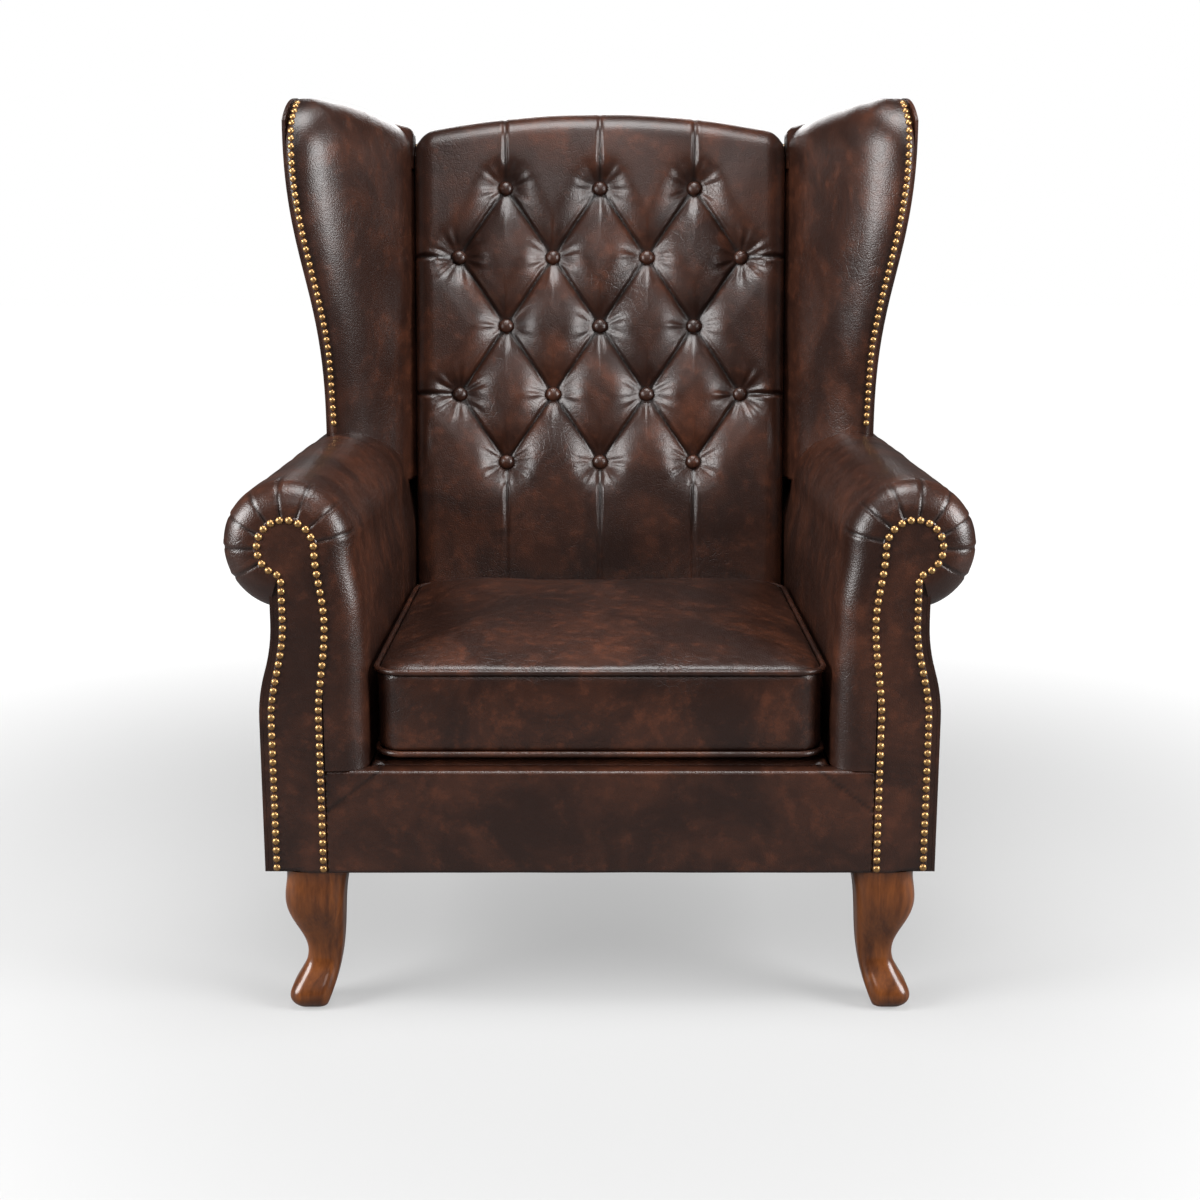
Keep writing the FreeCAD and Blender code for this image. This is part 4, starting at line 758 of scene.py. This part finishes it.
def buildWing(side, name):
    size = wing
    share = np.r_[-2, np.linspace(-1, 0, 7), np.linspace(0, 1, 70)[1:]]
    rings = wingRings(share).transpose(2, 0, 1) * (side, 1, 1)
    columns, count = rings.shape[:2]
    piece = cappedTube(name + "WingLeather", rings)
    with openMesh(piece):
        pass  # only turns its faces outwards
    points = meshVectors(piece) / mm
    across = np.repeat(share, count)
    ripple = noiseField(points, size["swellScale"], 8.0 + side) * size["swell"]
    ripple += noiseField(points * (1, 1, 0.4), size["rippleScale"], 2.0) * size["ripple"]
    inside = smoothStep(across, 0.02, 0.12) * smoothStep(-across, -1.0, -0.93)
    hidden = np.tile(np.arange(count) >= count - 10, columns)
    push = np.where(hidden, 0, ripple * inside)[:, None]
    setPoints(piece, (points + meshVectors(piece, "normal") * push) * mm)
    # Painted shade along the crease where the nose turns into the inner face.
    setAttribute(piece, "crease", 0.6 * bell(across - 0.03, 0.025))
    mergeDoubles(piece)
    rear = wingRear(name)
    with openMesh(piece) as body:
        body.from_mesh(rear.data)
    bpy.data.objects.remove(rear)
    smoothFaces(piece.data)
    dress(piece, leather, "chair", "leather", name + "_wing_pad")
    return piece


wingPieces = {name: buildWing(side, name) for side, name in sides}
print("wings made")


# Loose seat cushion: crowned top and foot, boxing drawn in between two piped seams.
seatCushion = {"half": 262, "front": -358, "rear": 164, "corner": 34, "seamLow": 314.7, "seamHigh": 412.7,
               "crown": 32, "sag": 10, "draw": 1, "voxel": 6, "pinReach": 9, "cap": 6, "frames": 16,
               "piping": 3.6, "zipEdge": 3, "zipFade": 8, "zipSink": 0.4, "wrinkle": 1.1,
               "wrinkleReach": 0.09, "hollow": 2.2, "hollowCap": 1.5, "seamDepth": 2.2, "seamReach": 4.0,
               "seamShade": 5.0, "seamRim": 12}
cushionCloth = {"quality": 4, "mass": 0.4, "tension_stiffness": 25, "compression_stiffness": 12,
                "bending_stiffness": 2, "use_pressure": True, "uniform_pressure_force": 4}


# The cushion swells as stuffed cloth does, held at its seams and foot, and never far from its own form.
def puff(piece, held):
    group = piece.vertex_groups.new(name="held")
    group.add(np.flatnonzero(held).tolist(), 1.0, "REPLACE")
    before = meshVectors(piece)
    swell = piece.modifiers.new("swell", "CLOTH")
    for key, value in cushionCloth.items():
        setattr(swell.settings, key, value)
    swell.settings.vertex_group_mass = group.name
    swell.settings.effector_weights.gravity = 0
    swell.collision_settings.use_collision = False
    for step in range(1, seatCushion["frames"] + 1):
        bpy.context.scene.frame_set(step)
    move = meshVectors(piece.evaluated_get(bpy.context.evaluated_depsgraph_get())) - before
    length = np.linalg.norm(move, axis=1, keepdims=True)
    move *= np.minimum(1, seatCushion["cap"] * mm / np.maximum(length, 1e-9))
    piece.modifiers.remove(swell)
    piece.vertex_groups.remove(group)
    bpy.context.scene.frame_set(1)
    setPoints(piece, before + move)


def seamOutline(cell=6.0):
    size = seatCushion
    radius = size["corner"]
    right, low, high = size["half"] - radius, size["front"] + radius, size["rear"] - radius
    points = []
    for x, y, start in ((right, low, -90), (right, high, 0), (-right, high, 90), (-right, low, 180)):
        for angle in np.radians(np.linspace(start, start + 90, 10)):
            points.append((x + radius * math.cos(angle), y + radius * math.sin(angle)))
    return evenPoints(np.array(points + points[:1]), cell)[:-1]


def cushionLoft():
    size = seatCushion
    outline = seamOutline()
    middle = np.array([0, (size["front"] + size["rear"]) / 2])
    rings = []
    for share in np.linspace(0.02, 1, 22):  # foot, from its middle to the low seam
        rings.append((share, size["seamLow"] - size["sag"] * (1 - share ** 6)))
    for share in np.linspace(0, 1, 14)[1:-1]:  # boxing, drawn in between the seams
        rings.append((1 - size["draw"] * math.sin(math.pi * share) / size["half"],
                      size["seamLow"] + share * (size["seamHigh"] - size["seamLow"])))
    for share in np.linspace(1, 0.02, 30):  # crown, from the high seam to its middle
        rings.append((share, size["seamHigh"] + size["crown"] * (1 - share ** 3.4) ** 0.75))
    count = len(outline)
    loft = [np.c_[middle + (outline - middle) * share, np.full(count, height)] for share, height in rings]
    return cappedTube("cushionForm", np.array(loft))


def edgeReach(points):
    size = seatCushion
    across = size["half"] - np.abs(points[:, 0])
    deep = np.minimum(points[:, 1] - size["front"], size["rear"] - points[:, 1])
    return np.minimum(across, deep)


def seamAway(points):
    high, low = seatCushion["seamHigh"], seatCushion["seamLow"]
    return np.minimum(np.abs(points[:, 2] - high), np.abs(points[:, 2] - low))


# Wrinkles towards the front of the top, shallow hollows and the dents along the seams.
def cushionDents(points, away, rim):
    size = seatCushion
    top = smoothStep(points[:, 2], size["seamHigh"] + 2, size["seamHigh"] + 12)
    near = smoothStep(-points[:, 1], 60, 330)
    lines = noiseField(points * (1.0, 0.45, 1.0), 0.05, 4.0)
    lines += 0.6 * noiseField(points * (0.5, 1.0, 1.0), 0.11, 9.0)
    creased = bell(lines, size["wrinkleReach"]) * top * (0.35 + 0.65 * near)
    hollow = noiseField(points, 0.008, 1.5) * size["hollow"] * top
    seam = bell(away, size["seamReach"]) * (rim < size["seamRim"])
    return size["wrinkle"] * creased + np.maximum(-hollow, -size["hollowCap"]) + size["seamDepth"] * seam


def flattenUnderZip(points):
    size = seatCushion
    low, high = (np.array(corner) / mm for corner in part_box("cushion_zip"))
    reach = np.maximum(np.maximum(low[0] - points[:, 0], points[:, 0] - high[0]),
                       np.maximum(low[2] - points[:, 2], points[:, 2] - high[2]))
    flat = 1 - smoothStep(reach, size["zipEdge"], size["zipEdge"] + size["zipFade"])
    flat *= points[:, 1] > low[1] - 40
    points[:, 1] -= flat * np.maximum(points[:, 1] - (low[1] - size["zipSink"]), 0)


def buildCushion():
    size = seatCushion
    form = cushionLoft()
    piece = softCopy("seatCushionLeather", form.data, size["voxel"], 2)
    bpy.data.objects.remove(form)
    points = meshVectors(piece) / mm
    away, rim = seamAway(points), edgeReach(points)
    puff(piece, ((away < 6) & (rim < size["pinReach"])) | (points[:, 2] < size["seamLow"] - 3))
    points = meshVectors(piece) / mm
    setPoints(piece, (points - meshVectors(piece, "normal") * cushionDents(points, away, rim)[:, None]) * mm)
    finer = piece.modifiers.new("finer", "SUBSURF")
    finer.levels = finer.render_levels = 1
    settle(piece)
    points = meshVectors(piece) / mm
    flattenUnderZip(points)
    setPoints(piece, points * mm)
    # Painted shade along both seams.
    shade = bell(seamAway(points), size["seamShade"]) * (edgeReach(points) < size["seamRim"])
    setAttribute(piece, "crease", 0.55 * shade)
    dress(piece, seatLeather, "cushion", "leather", "cushion_cover", "cushion_foam")


buildCushion()
print("seat cushion made")


# Leather border over the front rail, with a mitred seam at each upper corner.
frontBorder = {"half": 318.5, "low": 176, "high": 299.6, "front": -376.4, "rear": -351, "turn": 4.4,
               "cell": 4.0, "columns": 200, "topStart": 8, "puff": 0.9, "puffScale": 0.012, "puffCap": 0.5,
               "mitreTop": 256, "mitreDrop": 52, "mitreEnd": 4, "seamDepth": 0.9, "seamReach": 2.2}


def buildFrontBorder():
    size = frontBorder
    across = np.arange(-size["half"], size["half"] + 1, 2 * size["half"] / size["columns"])
    bend = size["high"] - size["turn"]
    rise = np.r_[np.arange(size["low"], bend, size["cell"]), bend]
    turn = np.linspace(0, math.pi / 2, 6)[1:]
    z = np.r_[rise, size["high"] - size["turn"] * (1 - np.sin(turn)), np.full(3, size["high"])]
    y = np.r_[np.full(len(rise), size["front"]), size["front"] + size["turn"] * (1 - np.cos(turn)),
              np.linspace(size["front"] + size["topStart"], size["rear"], 3)]
    grid = np.stack(np.broadcast_arrays(across, y[:, None], z[:, None]), -1)
    start = np.array([size["mitreTop"], size["high"]])
    end = np.array([size["half"] + size["mitreEnd"], size["high"] - size["mitreDrop"]])
    seam = bell(lineReach(np.abs(grid[..., 0]), grid[..., 2], start, end)[1], size["seamReach"])
    bulge = np.maximum(size["puff"] * noiseField(grid, size["puffScale"], 6.0), -size["puffCap"])
    grid[..., 1] += size["seamDepth"] * seam + bulge
    piece = gridObject("frontBorderLeather", grid)
    # Painted shade in the mitre seams.
    setAttribute(piece, "crease", 0.8 * seam)
    sealBehind(piece, seam.shape, lambda points: points * (1, 0, 1) + (0, size["rear"], 0))
    dress(piece, leather, "chair", "leather", "front_rail_cover", "front_rail_pad")


buildFrontBorder()
print("front border made")


# Sprung platform under the loose cushion, with a stitched line behind its front strip.
seatPlatform = {"cell": 6.0, "round": 7.0, "strip": 110, "seam": 1.6, "seamReach": 2.4,
                "seamRows": (-4, -2.4, -1.2, 0, 1.2, 2.4, 4), "wave": 0.9, "waveScale": 0.012, "waveEdge": 40,
                "below": 0.3}


def buildPlatform():
    size = seatPlatform
    low, high = (np.array(corner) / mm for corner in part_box("platform_cover"))
    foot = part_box("deck_pad")[0][2] / mm
    counts = ((high - low) / size["cell"]).astype(int)
    lines = [np.linspace(low[axis], high[axis], counts[axis]) for axis in (0, 1)]
    seamY = low[1] + size["strip"]
    lines[1] = np.sort(np.r_[lines[1], seamY + np.array(size["seamRows"])])
    x, y = np.meshgrid(*[np.r_[line[0], line, line[-1]] for line in lines])
    inside = np.minimum(np.minimum(x - low[0], high[0] - x), np.minimum(y - low[1], high[1] - y))
    edge = np.clip(size["round"] - inside, 0, size["round"])
    seam = bell(y - seamY, size["seamReach"])
    wave = noiseField(np.stack([x, y, 0 * x], -1), size["waveScale"], 6.0)
    drop = size["below"] + size["round"] - np.sqrt(size["round"] ** 2 - edge ** 2) + size["seam"] * seam
    z = high[2] - drop - size["wave"] * (1 + wave) * smoothStep(inside, 0, size["waveEdge"])
    z[[0, -1], :] = foot
    z[:, [0, -1]] = foot
    faces = gridFaces(*x.shape) + [rimIndex(x.shape)[::-1].tolist()]
    piece = meshObject("seatPlatformLeather", np.stack([x, y, z], -1).reshape(-1, 3), faces)
    # Painted shade along the stitched line.
    setAttribute(piece, "crease", 0.6 * seam)
    mergeDoubles(piece)
    dress(piece, leather, "chair", "leather", "platform_cover", "deck_pad")


buildPlatform()
print("platform made")


# Node trees for what repeats: domes on points, and a tube along a closed line.
class NodeTree:
    def __init__(self, name, sizes):
        self.tree = bpy.data.node_groups.new(name, "GeometryNodeTree")
        self.tree.interface.new_socket("Geometry", in_out="INPUT", socket_type="NodeSocketGeometry")
        self.sockets = {}
        for key, value in sizes.items():
            kind = "NodeSocketInt" if isinstance(value, int) else "NodeSocketFloat"
            made = self.tree.interface.new_socket(key, in_out="INPUT", socket_type=kind)
            made.default_value = value
            self.sockets[key] = made.identifier
        made = self.tree.interface.new_socket("Finish", in_out="INPUT", socket_type="NodeSocketMaterial")
        self.sockets["Finish"] = made.identifier
        self.tree.interface.new_socket("Geometry", in_out="OUTPUT", socket_type="NodeSocketGeometry")
        self.start = self.tree.nodes.new("NodeGroupInput")
        self.end = self.tree.nodes.new("NodeGroupOutput")

    def add(self, kind, settings=None, **links):
        made = self.tree.nodes.new(kind)
        for key, value in (settings or {}).items():
            setattr(made, key, value)
        for key, source in links.items():
            target = made.inputs[key.replace("_", " ")]
            if isinstance(source, bpy.types.NodeSocket):
                self.tree.links.new(source, target)
            else:
                target.default_value = source
        return made

    def finish(self, geometry):
        solid = self.add("GeometryNodeRealizeInstances", Geometry=geometry)
        smooth = self.add("GeometryNodeSetShadeSmooth", Geometry=solid.outputs[0])
        finish = self.start.outputs["Finish"]
        painted = self.add("GeometryNodeSetMaterial", Geometry=smooth.outputs[0], Material=finish)
        self.tree.links.new(painted.outputs[0], self.end.inputs[0])

    def make(self, name, points, edges, sizes, finish, aim=None):
        mesh = bpy.data.meshes.new(name + "Points")
        mesh.from_pydata((np.asarray(points, float) * mm).tolist(), edges, [])
        if aim is not None:
            layer = mesh.attributes.new("aim", "FLOAT_VECTOR", "POINT")
            layer.data.foreach_set("vector", np.asarray(aim, np.float32).ravel())
        carrier = placeInScene(name, mesh)
        modifier = carrier.modifiers.new("repeat", "NODES")
        modifier.node_group = self.tree
        for key, value in sizes.items():
            modifier[self.sockets[key]] = value
        modifier[self.sockets["Finish"]] = finish
        settle(carrier)
        return carrier


def domeTree():
    made = NodeTree("domesOnPoints", {"Radius": 0.0045, "Height": 0.003, "Segments": 8, "Rings": 5})
    given = made.start.outputs
    dome = made.add("GeometryNodeMeshUVSphere", Segments=given["Segments"], Rings=given["Rings"], Radius=1.0)
    spread = made.add("ShaderNodeCombineXYZ", X=given["Radius"], Y=given["Radius"], Z=given["Height"])
    aim = made.add("GeometryNodeInputNamedAttribute", {"data_type": "FLOAT_VECTOR"}, Name="aim")
    turn = made.add("FunctionNodeAlignRotationToVector", {"axis": "Z"}, Vector=aim.outputs[0])
    placed = made.add("GeometryNodeInstanceOnPoints", Points=given["Geometry"], Instance=dome.outputs["Mesh"],
                      Rotation=turn.outputs[0], Scale=spread.outputs[0])
    made.finish(placed.outputs[0])
    return made


def tubeTree():
    made = NodeTree("tubeAlongLine", {"Radius": 0.005, "Sides": 12})
    given = made.start.outputs
    line = made.add("GeometryNodeMeshToCurve", Mesh=given["Geometry"])
    ring = made.add("GeometryNodeCurvePrimitiveCircle", {"mode": "RADIUS"},
                    Resolution=given["Sides"], Radius=given["Radius"])
    tube = made.add("GeometryNodeCurveToMesh", Curve=line.outputs[0], Profile_Curve=ring.outputs["Curve"])
    made.finish(tube.outputs[0])
    return made


domes = domeTree()
tubes = tubeTree()


# Brass nails along the facings and the wings' front strips.
brassNails = {"radius": 4.7, "height": 3.4, "pitch": 10.6, "inset": 4.8, "sink": 0.4, "wingLow": 648,
              "wingTurn": 65, "approach": 24}


def setNails(name, points, aim, node):
    sizes = {"Radius": brassNails["radius"] * mm, "Height": brassNails["height"] * mm}
    nails = domes.make(name, points, [], sizes, brass, aim)
    dress(nails, brass, "chair", "nail_brass", node)


def buildFacingNails(side, name):
    size = brassNails
    flat = evenPoints(facingOutline(size["inset"]), size["pitch"])
    points = np.c_[flat[:, 0] * side, np.full(len(flat), armFacing["front"] + size["sink"]), flat[:, 1]]
    setNails(name + "FacingNails", points, np.tile((0, -1, 0), (len(points), 1)), name + "_arm_nails")


def wingNailLine():
    size = brassNails
    inset = np.array((wing["panel"] + size["inset"], wing["edgeTurn"], 0))
    edge = wingFront(np.linspace(size["wingLow"], wing["cornerZ"], 60)) - inset
    turn = np.radians(np.linspace(2, size["wingTurn"], 24))
    cornerZ = wing["cornerZ"] + wing["corner"] * np.sin(turn)
    cornerY = wing["rootY"] - wing["reach"] - wing["edgeTurn"] + wing["corner"] * (1 - np.cos(turn))
    corner = np.stack([wingFront(cornerZ)[:, 0] - inset[0], cornerY, cornerZ], -1)
    return evenPoints(np.vstack([edge, corner]), size["pitch"])


def buildWingNails(side, name):
    size = brassNails
    skin = BVHTree.FromObject(wingPieces[name], bpy.context.evaluated_depsgraph_get())
    points, aim = [], []
    for spot in wingNailLine() * (side, 1, 1):
        upward = max(spot[2] - wing["cornerZ"], 0) / wing["corner"]
        outward = Vector((0, -math.sqrt(max(1 - upward ** 2, 0)), upward))
        hit, normal, _, _ = skin.find_nearest(Vector(spot * mm) + outward * size["approach"] * mm)
        points.append(np.array(hit) / mm - np.array(normal) * size["sink"])
        aim.append(normal)
    setNails(name + "WingNails", points, aim, name + "_wing_nails")


for side, name in sides:
    buildFacingNails(side, name)
    buildWingNails(side, name)
print("nails made")


# Leather-covered buttons in the tufts.
tuftButtons = {"radius": 10, "height": 6.5, "depth": 19.5, "segments": 24, "rings": 14}


def buildButtons():
    size = tuftButtons
    spots = np.array([buttonSpot(*place) for place in buttonPlaces()])
    points = backToSpace(spots[:, 0], np.full(len(spots), size["depth"]), spots[:, 1])
    facing = backToSpace(0.0, -1.0, 0.0) - backToSpace(0.0, 0.0, 0.0)
    sizes = {"Radius": size["radius"] * mm, "Height": size["height"] * mm,
             "Segments": size["segments"], "Rings": size["rings"]}
    buttons = domes.make("tuftButtons", points, [], sizes, leather, np.tile(facing, (len(points), 1)))
    dress(buttons, leather, "chair", "leather", "back_buttons")


buildButtons()
print("buttons made")


# Piping along both seams of the cushion.
def buildPiping():
    outline = seamOutline(cell=5.0)
    count = len(outline)
    edges = [(index, (index + 1) % count) for index in range(count)]
    for name, seam, node in (("topPiping", "seamHigh", "cushion_top_piping"),
                             ("footPiping", "seamLow", "cushion_bottom_piping")):
        points = np.c_[outline, np.full(count, seatCushion[seam])]
        cord = tubes.make(name, points, edges, {"Radius": seatCushion["piping"] * mm}, seatLeather)
        dress(cord, seatLeather, "cushion", "leather", node)


buildPiping()
print("piping made")


# Every solid left showing takes its finish from its slot, and the boards beside the facings are covered.
def finishSolids():
    for row in frame["record"]["subparts"]:
        solid = nodes[row["node"]]
        solid.data.materials.clear()
        covered = row["node"].endswith("scroll_board")
        solid.data.materials.append(leather if covered else slotMaterials[row["material_slot"]])
        if row["node"].endswith("_leg"):
            smoothFaces(solid.data)


finishSolids()
print("solids finished")


# Studio: pale floor, soft light and the camera of the photograph.
studio = {"floor": 40.0, "floorColour": (0.17, 0.17, 0.17, 1), "nearGlow": 0.42, "glowRun": (0.6, 2.4),
          "sky": 0.05, "mirrorSky": 0.04, "lens": 52.77, "camera": (0.0, -2.329, 0.9105), "pitch": 0.206,
          "lampAim": (0, 0, 0.5)}
lamps = {"frontLamp": ((0.0, -2.9, 2.4), 1.2, 17), "topLamp": ((0.0, -0.5, 2.5), 1.2, 58),
         "leftLamp": ((-2.1, -1.05, 1.2), 1.3, 95), "rightLamp": ((2.1, -1.05, 1.2), 1.3, 95),
         "rearLamp": ((0.0, 2.8, 2.0), 1.6, 34)}  # place, width and watts
white, black = (1, 1, 1, 1), (0, 0, 0, 1)


# The floor keeps its shadow near the chair and turns to plain white further off.
def floorMaterial():
    material, shader, place = newMaterial("paleFloor", Base_Color=studio["floorColour"], Roughness=0.9,
                                          Emission_Strength=1.0)
    seen = place.node("ShaderNodeLightPath")  # its first output is Is Camera Ray
    away = place.node("ShaderNodeVectorMath", {"operation": "LENGTH"}, {0: place}, out=1)
    glow = studio["nearGlow"] + away.between(*studio["glowRun"]) * (1 - studio["nearGlow"])
    feed(shader, Emission_Color=(seen * glow).mixColour(black, white))
    return material


def buildFloor():
    half = studio["floor"] / 2 / mm
    corners = [(-half, -half, 0), (half, -half, 0), (half, half, 0), (-half, half, 0)]
    floor = meshObject("studioFloor", corners, [(0, 1, 2, 3)])
    floor.data.materials.append(floorMaterial())


def buildLamps():
    for name, (place, size, power) in lamps.items():
        light = bpy.data.lights.new(name, "AREA")
        light.shape = "DISK"
        light.size = size
        light.energy = power
        lamp = placeInScene(name, light)
        lamp.location = place
        lamp.rotation_euler = (Vector(studio["lampAim"]) - Vector(place)).to_track_quat("-Z", "Y").to_euler()


def buildWorld():
    world = bpy.data.worlds.new("studioWorld")
    world.use_nodes = True
    bpy.context.scene.world = world
    tree = world.node_tree
    rays = tree.nodes.new("ShaderNodeLightPath")
    seen = Wire(tree, rays.outputs["Is Camera Ray"])
    mirrored = Wire(tree, rays.outputs["Is Glossy Ray"])
    bright = seen.math("MAXIMUM", seen, mirrored * studio["mirrorSky"])
    background = tree.nodes["Background"]
    background.inputs["Color"].default_value = white
    feed(background, Strength=studio["sky"] + bright * (1 - studio["sky"]))


def buildCamera():
    camera = bpy.data.cameras.new("photoCamera")
    camera.lens = studio["lens"]
    view = placeInScene("photoCamera", camera)
    view.location = studio["camera"]
    view.rotation_euler = (math.pi / 2 - studio["pitch"], 0, 0)
    bpy.context.scene.camera = view
    bpy.context.scene.view_settings.view_transform = "Standard"


buildFloor()
buildLamps()
buildWorld()
buildCamera()
print("studio ready")
